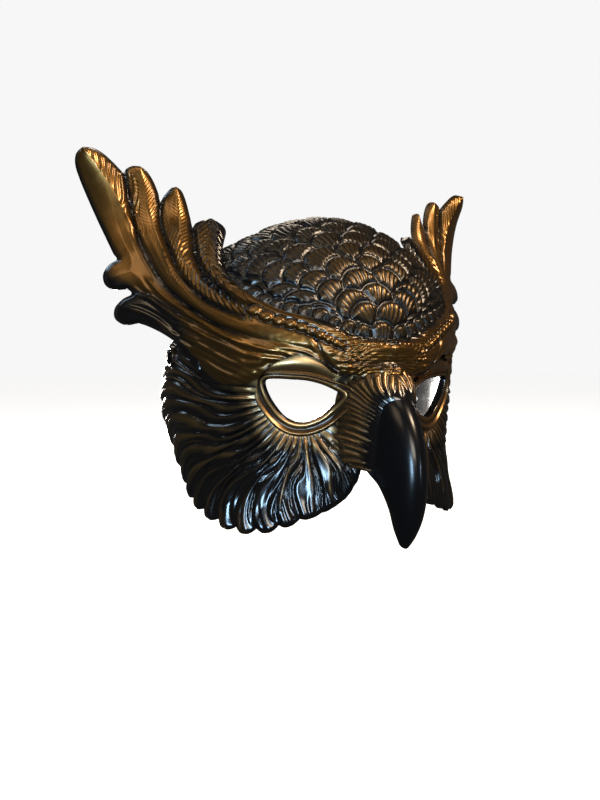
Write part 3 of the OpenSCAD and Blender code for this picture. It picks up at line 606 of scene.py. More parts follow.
def scale_list():
    """Feather tips on the crown: (unit centre, unit tip direction, half width, half length)."""
    f0 = np.array([0.0, -dcos(1.5), dsin(1.5)])
    e1 = np.array([1.0, 0, 0])
    e2 = np.array([0.0, dsin(1.5), dcos(1.5)])
    out = []
    rho, k = 9.0, 0
    while rho < 205:
        wid = mix(16.5, 19.0, sst(rho / 120)) * (0.84 if k == 0 else 1)
        ths = rho / CR
        circ = CR * abs(math.sin(ths))
        n = max(1, int(round(2 * math.radians(112) * circ / (wid * 0.93))))
        dpsi = math.radians(224) / n
        for i in range(-n, n + 1):
            psi = (i + (0.5 if k % 2 else 0.0)) * dpsi
            if abs(psi) > math.radians(116):
                continue
            j1, j2 = hash01(k * 37 + i, 31) - 0.5, hash01(k * 53 + i, 32) - 0.5
            th = (rho + 1.6 * j1) / CR
            ps = psi + 0.10 * dpsi * j2
            d = math.sin(ps) * e1 + math.cos(ps) * e2
            c = math.cos(th) * f0 + math.sin(th) * d
            tip = -math.sin(th) * f0 + math.cos(th) * d
            sz = 1 + 0.22 * (hash01(k * 11 + i, 33) - 0.5)
            out.append((rho + 1.6 * j1, c, tip, wid * 0.56 * sz, wid * 0.60 * sz))
        rho += mix(9.2, 12.2, sst(rho / 110))
        k += 1
    # small feathers along the seam, in front of the others
    for sg in (-1, 1):
        arc = 0.0
        prev = None
        for a in np.linspace(7, 57, 240):
            b = float(seam_b(a)) + 2.6 / max(float(dcos(a)), 0.5) ** 1.0
            c = cpt(np.array(sg * a), np.array(b)) / CR
            if prev is not None and np.linalg.norm(c - prev) * CR < 7.6:
                continue
            prev = c
            d = c - f0 * (c @ f0)
            d = d / np.linalg.norm(d)
            upd = np.array([sg * -0.25, 0.35, 0.9])
            tip = d * 0.6 + upd * 0.6
            tip = tip - c * (tip @ c)
            tip = tip / np.linalg.norm(tip)
            j = hash01(int(a * 10) + 500 * sg, 41)
            out.append((-5 + a * 0.01, c, tip, 4.4 + 0.9 * j, 4.8 + 0.9 * j))
    out.sort(key=lambda q: q[0])
    return out


def crown_relief(A, B):
    n = cpt(A, B).reshape(-1, 3) / CR
    N = len(n)
    own = np.full(N, -1)
    rim = np.full(N, 9.0)
    U = np.zeros(N)
    V = np.zeros(N)
    Lh = np.ones(N)
    k = -1
    items = scale_list()
    for k, (pr, c, tip, W, L) in enumerate(items):
        side = np.cross(tip, c)
        cosd = n @ c
        near = cosd > math.cos(2.2 * max(W, L) / CR)
        idx = np.where(near)[0]
        if len(idx) == 0:
            continue
        m = n[idx]
        u = (m @ tip) * CR
        v = (m @ side) * CR
        d = np.sqrt((np.where(u > 0, u / L, u / (L * 1.25))) ** 2 + (v / W) ** 2)
        free = own[idx] < 0
        inside = (d < 1) & free
        e = (1 - d) * min(W, L)
        # points this tip takes
        take = idx[inside]
        own[take] = k
        rim[take] = np.minimum(rim[take], e[inside])
        U[take], V[take], Lh[take] = u[inside], v[inside], L
        # free points just outside keep clear of its rim
        outp = free & ~inside
        rim[idx[outp]] = np.minimum(rim[idx[outp]], -e[outp])
    s = 1 - np.exp(-(np.maximum(rim, 0) / 1.25) ** 1.4)
    tilt = np.clip((U / Lh + 1) / 2, 0, 1)
    bowl = np.clip(1 - (V / (1.2 * Lh)) ** 2, 0, 1)
    h = s * (0.70 + 1.45 * tilt + 0.35 * bowl * tilt) - 0.85
    th = np.arctan2(V, U + 1.9 * Lh)
    cnt = 50 + 12 * hash01(own, 51)
    ph = th * cnt + 6.28 * hash01(own, 52) + 0.8 * np.sin(U * 0.5 + own)
    stripe = np.sin(ph)
    tipm = sst((rim - 0.9) / 1.2) * sst((U / Lh + 0.75) / 0.5)
    stripe = stripe + 0.35 * np.sin(2 * ph + 1.3 * own)
    h = h + 0.15 * tipm * np.where(stripe > 0, stripe, 1.9 * stripe)
    h = h + 0.10 * np.exp(-((rim - 1.35) / 0.6) ** 2) * (U > 0)
    # bronze: rubbed on the crests; then brighter at the front and darker over the top, back and sides, a painted
    # highlight and painted shade
    front = np.clip(-n[:, 1] * 0.75 + 0.35, 0, 1) * (1 - 0.35 * np.abs(n[:, 0]))
    g = s * (0.22 + 0.74 * sst((stripe + 0.85) / 0.9)) * (0.30 + 0.70 * tilt)
    g = g + 0.04 * np.exp(-((rim - 1.3) / 0.5) ** 2)
    # painted highlight at the front and painted shade over the top, back and sides
    g = g * (0.13 + 0.87 * front ** 2.2)
    own_none = own < 0
    h[own_none] = -0.6
    g[own_none] = 0.1
    return h.reshape(A.shape), np.clip(g, 0, 1).reshape(A.shape)


# ---------------------------------------------------------------- the beak
B_RIDGE = [[-98.5, -16], [-104.5, -18.8], [-110, -24], [-115.5, -32.5], [-119.8, -44], [-121.5, -56],
           [-120.8, -68], [-118.3, -78.5], [-114, -87], [-109.8, -92.5]]
B_EDGE = [[7.4, -91, -17], [9.8, -89.5, -22], [11.6, -88.6, -29.5], [12.5, -88.2, -38], [12.9, -88.6, -47],
          [12.7, -91.5, -55.5], [10.8, -101, -62.5], [8.4, -106.2, -72.5], [5.8, -106.9, -82.6], [2.7, -107.2, -90.6]]


def beak_pt(t, f, d):
    """Point on the beak at section t (0 to 9) and angle f round it, with the wall d taken off."""
    g = cr(B_RIDGE, t)
    e = cr(B_EDGE, t)
    c = np.stack([0 * e[..., 0], e[..., 1], e[..., 2]], -1)
    v = np.stack([0 * g[..., 0], g[..., 0], g[..., 1]], -1) - c
    dv = np.linalg.norm(v, axis=-1)
    w = e[..., 0]
    wi = w * np.maximum(1 - d / w, 0.3) if d else w
    di = dv * np.maximum(1 - d / dv, 0.3) if d else dv
    sn = np.clip(np.sin(f), 0, 1)
    return c + np.stack([wi * np.cos(f), 0 * wi, 0 * wi], -1) + v / dv[..., None] * (di * sn)[..., None]


RIM = [[-1.3, 0, -2.2], [-1.4, 0, 0.8], [-0.9, 0, 1.7], [0.4, 0, 1.9], [0, 0.34, 1.1], [0, 0.55, 1.3],
       [0, 0.78, 2.4], [0, 0.95, 1.5], [0, 1, 0.4], [0.2, 0, 0.4], [-0.3, 0, 0.2], [-0.3, 0, -2.2]]


# ================================================================ Blender side
MM = 0.001


def make_mesh(name, verts, quads, tris=None, attrs=None, sharp=55.0):
    """verts in mm, faces as whole-number arrays; one float attribute per name in attrs."""
    me = bpy.data.meshes.new(name)
    verts = np.asarray(verts, float).reshape(-1, 3) * MM
    q = np.asarray(quads, np.int32).reshape(-1, 4)
    t = np.zeros((0, 3), np.int32) if tris is None else np.asarray(tris, np.int32).reshape(-1, 3)
    me.vertices.add(len(verts))
    me.vertices.foreach_set("co", verts.astype(np.float32).ravel())
    loops = np.concatenate([q.ravel(), t.ravel()])
    me.loops.add(len(loops))
    me.loops.foreach_set("vertex_index", loops)
    start = np.concatenate([np.arange(len(q)) * 4, len(q) * 4 + np.arange(len(t)) * 3]).astype(np.int32)
    me.polygons.add(len(start))
    me.polygons.foreach_set("loop_start", start)
    me.polygons.foreach_set("use_smooth", np.ones(len(start), bool))
    me.update(calc_edges=True)
    me.validate()
    for key, val in (attrs or {}).items():
        a = me.attributes.new(key, "FLOAT", "POINT")
        a.data.foreach_set("value", np.asarray(val, np.float32).ravel())
    if sharp:
        me.set_sharp_from_angle(angle=math.radians(sharp))
    ob = bpy.data.objects.new(name, me)
    bpy.context.scene.collection.objects.link(ob)
    return ob


def gq(nu, nv, off=0, cyc_u=False, cyc_v=False, flip=False):
    """Quads of an (nu, nv) grid of points, numbered row by row from off."""
    i = np.arange(nu if cyc_u else nu - 1)
    j = np.arange(nv if cyc_v else nv - 1)
    I, J = np.meshgrid(i, j, indexing="ij")
    I2, J2 = (I + 1) % nu, (J + 1) % nv
    q = np.stack([I * nv + J, I2 * nv + J, I2 * nv + J2, I * nv + J2], -1).reshape(-1, 4) + off
    return q[:, ::-1] if flip else q


def strip(a, b, flip=False):
    """Quads between two equally long lines of points."""
    a, b = np.asarray(a), np.asarray(b)
    q = np.stack([a[:-1], a[1:], b[1:], b[:-1]], -1)
    return q[:, ::-1] if flip else q


def normals(P):
    du = np.gradient(P, axis=0)
    dv = np.gradient(P, axis=1)
    n = np.cross(du, dv)
    return n / np.maximum(np.linalg.norm(n, axis=-1, keepdims=True), 1e-9)


# ---------------------------------------------------------------- materials
def nodes_of(name):
    m = bpy.data.materials.new(name)
    m.use_nodes = True
    nt = m.node_tree
    nt.nodes.clear()
    out = nt.nodes.new("ShaderNodeOutputMaterial")
    b = nt.nodes.new("ShaderNodeBsdfPrincipled")
    nt.links.new(b.outputs[0], out.inputs[0])
    return m, nt, b


def nd(nt, kind, **kw):
    n = nt.nodes.new(kind)
    for k, v in kw.items():
        if k.startswith("i_"):
            n.inputs[int(k[2:])].default_value = v
        else:
            setattr(n, k, v)
    return n


def ramp(nt, src, stops, interp="LINEAR"):
    r = nt.nodes.new("ShaderNodeValToRGB")
    r.color_ramp.interpolation = interp
    e = r.color_ramp.elements
    while len(e) < len(stops):
        e.new(0.5)
    for el, (p, c) in zip(e, stops):
        el.position = p
        el.color = (*c, 1) if len(c) == 3 else c
    nt.links.new(src, r.inputs[0])
    return r


def math_node(nt, op, a, b=None, c=None, clamp=False):
    n = nt.nodes.new("ShaderNodeMath")
    n.operation = op
    n.use_clamp = clamp
    for i, v in enumerate((a, b, c)):
        if v is None:
            continue
        if isinstance(v, (int, float)):
            n.inputs[i].default_value = v
        else:
            nt.links.new(v, n.inputs[i])
    return n.outputs[0]


def noise(nt, coord, scale, detail=3.0, rough=0.55, stretch=None, dist=0.0):
    n = nt.nodes.new("ShaderNodeTexNoise")
    n.inputs["Scale"].default_value = scale
    n.inputs["Detail"].default_value = detail
    n.inputs["Roughness"].default_value = rough
    n.inputs["Distortion"].default_value = dist
    if stretch:
        mp = nt.nodes.new("ShaderNodeMapping")
        mp.inputs["Scale"].default_value = stretch
        nt.links.new(coord, mp.inputs[0])
        coord = mp.outputs[0]
    nt.links.new(coord, n.inputs["Vector"])
    return n.outputs["Fac"]


def bump(nt, height, strength, distance, under=None):
    b = nt.nodes.new("ShaderNodeBump")
    b.inputs["Strength"].default_value = strength
    b.inputs["Distance"].default_value = distance
    nt.links.new(height, b.inputs["Height"])
    if under is not None:
        nt.links.new(under, b.inputs["Normal"])
    return b.outputs[0]


def bronze(name, black=(0.0035, 0.0032, 0.0035), brown=(0.040, 0.021, 0.0075), mid=(0.175, 0.094, 0.031), top=(0.40, 0.235, 0.095),
           speck=0.30, rough_lo=0.17, rough_hi=0.33, stretch=(1, 1, 1), gain=1.0, grain=0.32, coat=0.40):
    """Bronze paint rubbed over gloss black, by the piece's own "gold" amount, which in a few places also carries
    painted shade and a painted highlight.
    """
    m, nt, b = nodes_of(name)
    co = nt.nodes.new("ShaderNodeTexCoord").outputs["Object"]
    g = nt.nodes.new("ShaderNodeAttribute")
    g.attribute_name = "gold"
    f1 = noise(nt, co, 900, 4, 0.6, stretch)
    f2 = noise(nt, co, 130, 3, 0.5)
    f3 = noise(nt, co, 2600, 2, 0.5, stretch)
    a = math_node(nt, "MULTIPLY_ADD", f1, speck, -0.5 * speck)
    c = math_node(nt, "MULTIPLY_ADD", f2, 0.24, -0.12)
    gg = math_node(nt, "ADD", math_node(nt, "MULTIPLY", g.outputs["Fac"], gain), math_node(nt, "ADD", a, c), clamp=True)
    col = ramp(nt, gg, [(0.0, black), (0.22, black), (0.42, brown), (0.70, mid), (1.0, top)])
    # the wearer's side, marked with -1, is bare dark grey plastic
    ins = math_node(nt, "LESS_THAN", g.outputs["Fac"], -0.5)
    bare = ramp(nt, math_node(nt, "MULTIPLY_ADD", f1, 0.5, math_node(nt, "MULTIPLY", f2, 0.5)), [(0.35, (0.038, 0.037, 0.036)), (0.65, (0.062, 0.060, 0.057))])
    mx = nt.nodes.new("ShaderNodeMixRGB")
    nt.links.new(ins, mx.inputs[0])
    nt.links.new(col.outputs[0], mx.inputs[1])
    nt.links.new(bare.outputs[0], mx.inputs[2])
    nt.links.new(mx.outputs[0], b.inputs["Base Color"])
    met = ramp(nt, gg, [(0.0, (0, 0, 0)), (0.2, (0.05, 0.05, 0.05)), (0.5, (0.75, 0.75, 0.75)), (0.8, (0.95, 0.95, 0.95))])
    nt.links.new(met.outputs[0], b.inputs["Metallic"])
    ro = ramp(nt, gg, [(0.0, (rough_lo,) * 3), (0.35, (rough_lo + 0.05,) * 3), (0.6, (rough_hi + 0.05,) * 3), (1.0, (rough_hi - 0.03,) * 3)])
    rr = math_node(nt, "MULTIPLY_ADD", f2, 0.14, -0.07)
    nt.links.new(math_node(nt, "ADD", math_node(nt, "MULTIPLY_ADD", ins, 0.26, ro.outputs[0]), rr), b.inputs["Roughness"])
    b.inputs["Specular IOR Level"].default_value = 0.5
    b.inputs["Coat Weight"].default_value = coat
    b.inputs["Coat Roughness"].default_value = 0.14
    hgt = math_node(nt, "ADD", math_node(nt, "MULTIPLY", f1, 0.6), math_node(nt, "MULTIPLY", f3, 0.4))
    nt.links.new(bump(nt, hgt, grain, 0.00022), b.inputs["Normal"])
    return m


def gloss_black(name):
    m, nt, b = nodes_of(name)
    co = nt.nodes.new("ShaderNodeTexCoord").outputs["Object"]
    f1 = noise(nt, co, 55, 3, 0.5)
    f2 = noise(nt, co, 1500, 3, 0.6)
    g = nt.nodes.new("ShaderNodeAttribute")
    g.attribute_name = "gold"
    gg = math_node(nt, "ADD", g.outputs["Fac"], math_node(nt, "MULTIPLY_ADD", f2, 0.4, -0.2), clamp=True)
    col = ramp(nt, gg, [(0.0, (0.0030, 0.0032, 0.0042)), (0.3, (0.006, 0.0055, 0.006)), (0.7, (0.11, 0.066, 0.026)), (1.0, (0.24, 0.15, 0.06))])
    nt.links.new(col.outputs[0], b.inputs["Base Color"])
    met = ramp(nt, gg, [(0.0, (0, 0, 0)), (0.35, (0.05, 0.05, 0.05)), (0.8, (0.85, 0.85, 0.85))])
    nt.links.new(met.outputs[0], b.inputs["Metallic"])
    ro = math_node(nt, "MULTIPLY_ADD", f1, 0.07, 0.19)
    nt.links.new(ro, b.inputs["Roughness"])
    b.inputs["Specular IOR Level"].default_value = 0.38
    nt.links.new(bump(nt, f2, 0.10, 0.00012), b.inputs["Normal"])
    return m


def simple(name, c1, c2, scale, rough, metallic=0.0, bump_s=0.3, bump_d=0.0002, stretch=None, sheen=0.0, detail=4):
    m, nt, b = nodes_of(name)
    co = nt.nodes.new("ShaderNodeTexCoord").outputs["Object"]
    f = noise(nt, co, scale, detail, 0.6, stretch)
    col = ramp(nt, f, [(0.3, c1), (0.7, c2)])
    nt.links.new(col.outputs[0], b.inputs["Base Color"])
    nt.links.new(math_node(nt, "MULTIPLY_ADD", f, 0.16, rough - 0.08), b.inputs["Roughness"])
    b.inputs["Metallic"].default_value = metallic
    if sheen:
        b.inputs["Sheen Weight"].default_value = sheen
        b.inputs["Sheen Roughness"].default_value = 0.4
    nt.links.new(bump(nt, f, bump_s, bump_d), b.inputs["Normal"])
    return m


def leather(name):
    m, nt, b = nodes_of(name)
    co = nt.nodes.new("ShaderNodeTexCoord").outputs["Object"]
    v = nt.nodes.new("ShaderNodeTexVoronoi")
    v.feature = "DISTANCE_TO_EDGE"
    v.inputs["Scale"].default_value = 1400
    nt.links.new(co, v.inputs["Vector"])
    f = noise(nt, co, 300, 4, 0.6)
    col = ramp(nt, f, [(0.3, (0.014, 0.011, 0.009)), (0.75, (0.035, 0.028, 0.022))])
    nt.links.new(col.outputs[0], b.inputs["Base Color"])
    nt.links.new(math_node(nt, "MULTIPLY_ADD", f, 0.2, 0.38), b.inputs["Roughness"])
    e = ramp(nt, v.outputs["Distance"], [(0.0, (0, 0, 0)), (0.12, (1, 1, 1))])
    nt.links.new(bump(nt, e.outputs[0], 0.35, 0.00015, bump(nt, f, 0.3, 0.0003)), b.inputs["Normal"])
    return m


def webbing(name):
    """Elastic webbing: fine ribs along the band and a tighter cross weave."""
    m, nt, b = nodes_of(name)
    u = nt.nodes.new("ShaderNodeAttribute")
    u.attribute_name = "along"
    w = nt.nodes.new("ShaderNodeAttribute")
    w.attribute_name = "across"
    su = math_node(nt, "SINE", math_node(nt, "MULTIPLY", u.outputs["Fac"], 2 * PI / 0.9))
    sw = math_node(nt, "SINE", math_node(nt, "MULTIPLY", w.outputs["Fac"], 2 * PI / 1.25))
    co = nt.nodes.new("ShaderNodeTexCoord").outputs["Object"]
    f = noise(nt, co, 1600, 3, 0.6)
    h = math_node(nt, "ADD", math_node(nt, "MULTIPLY", su, 0.35), math_node(nt, "MULTIPLY", sw, 0.5))
    hh = math_node(nt, "ADD", h, math_node(nt, "MULTIPLY", f, 0.5))
    col = ramp(nt, math_node(nt, "MULTIPLY_ADD", hh, 0.35, 0.4), [(0.0, (0.006, 0.006, 0.007)), (0.6, (0.022, 0.022, 0.025)), (1.0, (0.05, 0.05, 0.055))])
    nt.links.new(col.outputs[0], b.inputs["Base Color"])
    nt.links.new(math_node(nt, "MULTIPLY_ADD", f, 0.15, 0.62), b.inputs["Roughness"])
    b.inputs["Sheen Weight"].default_value = 0.25
    b.inputs["Sheen Roughness"].default_value = 0.45
    nt.links.new(bump(nt, hh, 0.6, 0.00018), b.inputs["Normal"])
    return m


def foam_cloth(name):
    m, nt, b = nodes_of(name)
    co = nt.nodes.new("ShaderNodeTexCoord").outputs["Object"]
    v = nt.nodes.new("ShaderNodeTexVoronoi")
    v.inputs["Scale"].default_value = 900
    nt.links.new(co, v.inputs["Vector"])
    f = noise(nt, co, 220, 3, 0.55)
    col = ramp(nt, math_node(nt, "ADD", math_node(nt, "MULTIPLY", v.outputs["Distance"], 0.6), math_node(nt, "MULTIPLY", f, 0.4)),
               [(0.15, (0.016, 0.016, 0.018)), (0.7, (0.062, 0.062, 0.068))])
    nt.links.new(col.outputs[0], b.inputs["Base Color"])
    b.inputs["Roughness"].default_value = 0.85
    b.inputs["Sheen Weight"].default_value = 0.4
    b.inputs["Sheen Roughness"].default_value = 0.5
    nt.links.new(bump(nt, v.outputs["Distance"], 0.55, 0.0003), b.inputs["Normal"])
    return m


M_FACE = bronze("face_bronze", brown=(0.040, 0.026, 0.012), mid=(0.165, 0.100, 0.040), speck=0.17, stretch=(1, 1, 0.45), grain=0.12)
M_CROWN = bronze("crown_bronze", brown=(0.034, 0.021, 0.008), mid=(0.086, 0.052, 0.020), top=(0.37, 0.245, 0.112), speck=0.18, rough_lo=0.27, rough_hi=0.29, grain=0.16, coat=0.03)
M_PLUME = bronze("plume_bronze", speck=0.14, brown=(0.050, 0.026, 0.007), mid=(0.160, 0.080, 0.017), top=(0.36, 0.195, 0.060), stretch=(0.6, 0.6, 0.6), rough_hi=0.30, grain=0.20)
M_RIM = bronze("rim_bronze", speck=0.2, rough_hi=0.3, grain=0.16)
M_BEAK = gloss_black("beak_gloss")
M_INNER = M_FACE
M_RIVET = simple("rivet_lacquer", (0.012, 0.012, 0.014), (0.03, 0.03, 0.034), 700, 0.22, 0.9, 0.15)
M_NYLON = simple("nylon_spacer", (0.50, 0.49, 0.45), (0.60, 0.58, 0.54), 500, 0.5)
M_STEEL = simple("washer_steel", (0.42, 0.42, 0.43), (0.60, 0.60, 0.61), 900, 0.3, 1.0, 0.25, 0.0001, (1, 8, 1))
M_LEATHER = leather("tab_leather")
M_WEB = webbing("elastic_webbing")
M_SLIDER = simple("slider_plastic", (0.010, 0.010, 0.011), (0.022, 0.022, 0.024), 1800, 0.42, 0.0, 0.4, 0.0001)
M_FOAM = foam_cloth("foam_cover")
M_THREAD = simple("thread", (0.25, 0.19, 0.10), (0.42, 0.33, 0.18), 3000, 0.7)
M_THREAD_DARK = simple("thread_dark", (0.03, 0.03, 0.033), (0.08, 0.08, 0.085), 3000, 0.75)


def finish_piece(ob, mat, body, slot_name, *nodes):
    ob.data.materials.clear()
    ob.data.materials.append(mat)
    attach(ob, body)
    if nodes:
        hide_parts(*nodes)
    return ob


# ---------------------------------------------------------------- build: face
def build_face():
    g = face_grid()
    h, gold = face_relief(g)
    q = g["q"]
    nu, nv = q.shape[:2]
    ni = 9
    ri = np.linspace(0, 1, ni)
    qi = g["inn"][:, None, :] * (1 - ri[None, :, None]) + g["out"][:, None, :] * ri[None, :, None]
    on_mid = np.abs(g["out"][:, 0]) < 1e-6
    P, G, ids = [], [], {}
    base = 0
    for side in (0, 1):
        sg = 1 if side == 0 else -1
        o = fpt(q[..., 0], q[..., 1], h)
        i_ = fpt(qi[..., 0], qi[..., 1], -WALL)
        for lay, (pts, gv) in enumerate(((o, gold), (i_, np.full(qi.shape[:2], -1.0)))):
            pts = pts * np.array([sg, 1, 1])
            n0, n1 = pts.shape[:2]
            ids[(side, lay)] = (np.arange(n0 * n1) + base).reshape(n0, n1)
            P.append(pts.reshape(-1, 3))
            G.append(gv.ravel())
            base += n0 * n1
    for lay in (0, 1):
        ids[(1, lay)][on_mid, -1] = ids[(0, lay)][on_mid, -1]
    Q = []
    for side in (0, 1):
        fl = side == 1
        for lay in (0, 1):
            A = ids[(side, lay)]
            A2 = np.roll(A, -1, axis=0)
            qq = np.stack([A[:, :-1], A2[:, :-1], A2[:, 1:], A[:, 1:]], -1).reshape(-1, 4)
            Q.append(qq[:, ::-1] if (lay == 1) != fl else qq)
        a, b = ids[(side, 0)], ids[(side, 1)]
        i0, i1 = a[:, 0], b[:, 0]
        qq = np.stack([np.roll(i0, -1), i0, i1, np.roll(i1, -1)], -1)
        Q.append(qq[:, ::-1] if fl else qq)
        keep = ~(on_mid & np.roll(on_mid, -1))
        o0, o1 = a[:, -1], b[:, -1]
        qq = np.stack([o0, np.roll(o0, -1), np.roll(o1, -1), o1], -1)[keep]
        Q.append(qq[:, ::-1] if fl else qq)
    P = np.concatenate(P)
    Q = np.concatenate(Q)
    used = np.unique(Q)
    remap = np.full(len(P), -1)
    remap[used] = np.arange(len(used))
    ob = make_mesh("face", P[used], remap[Q], attrs={"gold": np.concatenate(G)[used]}, sharp=62)
    finish_piece(ob, M_FACE, "mask", "bronze_face", "face_shell")
    # raised ring of each temple boss
    for sg, nm in ((1, "left"), (-1, "right")):
        prof = [(85.6, 6.3), (90.0, 6.5), (90.7, 6.2), (91.0, 5.6), (90.95, 4.8), (90.6, 4.3), (90.2, 4.1), (89.8, 2.9), (85.6, 2.55)]
        pr = dense(prof, 4)
        n = 72
        th = np.linspace(0, 2 * PI, n, endpoint=False)
        V = np.stack([np.broadcast_to(sg * pr[None, :, 0], (n, len(pr))), np.cos(th)[:, None] * pr[None, :, 1], np.sin(th)[:, None] * pr[None, :, 1]], -1)
        o = make_mesh("temple_boss_" + nm, V, gq(n, len(pr), 0, True, True, flip=sg < 0), attrs={"gold": np.full(n * len(pr), 0.28)})
        finish_piece(o, M_FACE, "mask", "bronze_face")


def build_plume(sg, name, node):
    q, k, t = plume_grid()
    h, gold = plume_relief(q)
    x, z = q[..., 0], q[..., 1]
    fy = p_front(np.abs(x), z)
    near = (0.2 if sg < 0 else 1.0) * sst((x - 42) / 14) * sst((24 - z) / 14) * sst((100 - x) / 14)
    fy = fy + near * np.clip(under_y(x, z) - 2.2 - fy, 0, 4.5)
    F = np.stack([x, fy, z], -1)
    n = normals(F)
    n = np.where(n[..., 1:2] > 0, -n, n)
    # keep the shared middle edge in the middle
    n[0, :, 0] = 0
    n = n / np.linalg.norm(n, axis=-1, keepdims=True)
    if sg > 0:
        inside = sst((x - 46) / 10) * sst((20 - z) / 10) * sst((96 - x) / 10)
        h = h - 0.9 * inside
    O = F + n * h[..., None]
    O[..., 0] = np.clip(O[..., 0], 0.02, 138.0)
    O[..., 2] = np.minimum(O[..., 2], 120.86)
    js = np.unique(np.round(np.linspace(0, q.shape[1] - 1, 13)).astype(int))
    Bk = np.stack([x, p_back(np.abs(x), z), z], -1)
    gap = (Bk[..., 1] - O[..., 1])
    Bk[..., 1] = np.where(gap < 0.9, O[..., 1] + 0.9, Bk[..., 1])
    rest = under_y(x, z) + 0.5
    lies = sst((84 - x) / 8) * (rest > Bk[..., 1]) * (rest - Bk[..., 1] < 9)
    Bk[..., 1] = mix(Bk[..., 1], np.where(lies > 0, rest, Bk[..., 1]), lies)
    Bk = Bk[:, js]
    nu, nv = O.shape[:2]
    nb = len(js)
    S = np.array([sg, 1, 1])
    P = np.concatenate([(O * S).reshape(-1, 3), (Bk * S).reshape(-1, 3)])
    fl = sg < 0
    Q = [gq(nu, nv, 0, flip=fl), gq(nu, nb, nu * nv, flip=not fl)]
    ia = np.arange(nu * nv).reshape(nu, nv)
    ib = np.arange(nu * nb).reshape(nu, nb) + nu * nv
    Q.append(strip(ia[:, 0], ib[:, 0], flip=not fl))
    Q.append(strip(ia[:, -1], ib[:, -1], flip=fl))
    # the two short ends: fans of quads and triangles between fine and coarse rows
    T = []
    for e, rev in ((0, fl), (nu - 1, not fl)):
        fa, fb = ia[e], ib[e]
        for c in range(nb - 1):
            lo, hi = js[c], js[c + 1]
            for j in range(lo, hi):
                T.append([fa[j], fa[j + 1], fb[c]] if rev else [fa[j + 1], fa[j], fb[c]])
            T.append([fb[c], fa[hi], fb[c + 1]] if rev else [fa[hi], fb[c], fb[c + 1]])
    G = np.concatenate([gold.ravel(), np.full(nu * nb, 0.05)])
    ob = make_mesh(name, P, np.concatenate(Q), T, {"gold": G}, sharp=58)
    finish_piece(ob, M_PLUME, "mask", "bronze_plume", node)


def build_crown():
    A, B = crown_grid()
    h, gold = crown_relief(A, B)
    # rolled edges
    nu, nv = A.shape
    tt = np.linspace(0, 1, nv)[None, :]
    span = (rear_b(A[:, 0]) - seam_b(A[:, 0]))[:, None] * CR * PI / 180
    e = np.minimum(tt, 1 - tt) * span
    er = (1 - tt) * span
    h = h * sst(e / 3.0) - 0.9 * sst((1.6 - er) / 1.6)
    # painted shade: the bronze fades toward black within a few mm of both edges, for the shadowed seam under the brow
    gold = gold * (0.30 + 0.70 * sst((e - 0.8) / 4.0))
    O = crown_flat(cpt(A, B, h))
    ii = np.unique(np.round(np.linspace(0, nv - 1, 24)).astype(int))
    I = crown_flat(cpt(A[:, ii], B[:, ii], -WALL * np.ones((nu, len(ii)))))
    P = np.concatenate([O.reshape(-1, 3), I.reshape(-1, 3)])
    ia = np.arange(nu * nv).reshape(nu, nv)
    ib = np.arange(nu * len(ii)).reshape(nu, len(ii)) + nu * nv
    Q = [gq(nu, nv, 0, flip=False), gq(nu, len(ii), nu * nv, flip=True)]
    Q.append(strip(ia[:, 0], ib[:, 0], flip=True))
    Q.append(strip(ia[:, -1], ib[:, -1], flip=False))
    T = []
    for e_, rev in ((0, False), (nu - 1, True)):
        fa, fb = ia[e_], ib[e_]
        for c in range(len(ii) - 1):
            lo, hi = ii[c], ii[c + 1]
            for j in range(lo, hi):
                T.append([fa[j], fa[j + 1], fb[c]] if rev else [fa[j + 1], fa[j], fb[c]])
            T.append([fb[c], fa[hi], fb[c + 1]] if rev else [fa[hi], fb[c], fb[c + 1]])
    G = np.concatenate([gold.ravel(), np.full(nu * len(ii), -1.0)])
    ob = make_mesh("crown", P, np.concatenate(Q), T, {"gold": G}, sharp=0)
    finish_piece(ob, M_CROWN, "mask", "bronze_crown", "crown_shell")


def build_beak():
    nk, nf = 120, 60
    t = np.linspace(0, 9, nk + 1)
    f = np.linspace(0, PI, nf + 1)
    T_, F_ = np.meshgrid(t, f, indexing="ij")
    O = beak_pt(T_, F_, 0)
    I = beak_pt(T_, F_, 2.6)
    O = O.copy()
    nu, nv = O.shape[:2]
    P = np.concatenate([O.reshape(-1, 3), I.reshape(-1, 3)])
    ia = np.arange(nu * nv).reshape(nu, nv)
    ib = ia + nu * nv
    Q = [gq(nu, nv, 0), gq(nu, nv, nu * nv, flip=True),
         strip(ia[:, 0], ib[:, 0], flip=True), strip(ia[:, -1], ib[:, -1]),
         strip(ia[0], ib[0]), strip(ia[-1], ib[-1], flip=True)]
    edge = np.minimum(F_, PI - F_)
    gold = 0.42 * sst((2.4 - T_) / 2.4) * (0.4 + 0.6 * sst((0.5 - edge) / 0.5)) + 0.22 * sst((5.5 - T_) / 2) * sst((0.22 - edge) / 0.22)
    G = np.concatenate([gold.ravel(), np.zeros(nu * nv)])
    ob = make_mesh("beak_shell", P, np.concatenate(Q), None, {"gold": G}, sharp=50)
    finish_piece(ob, M_BEAK, "mask", "beak_black", "beak")


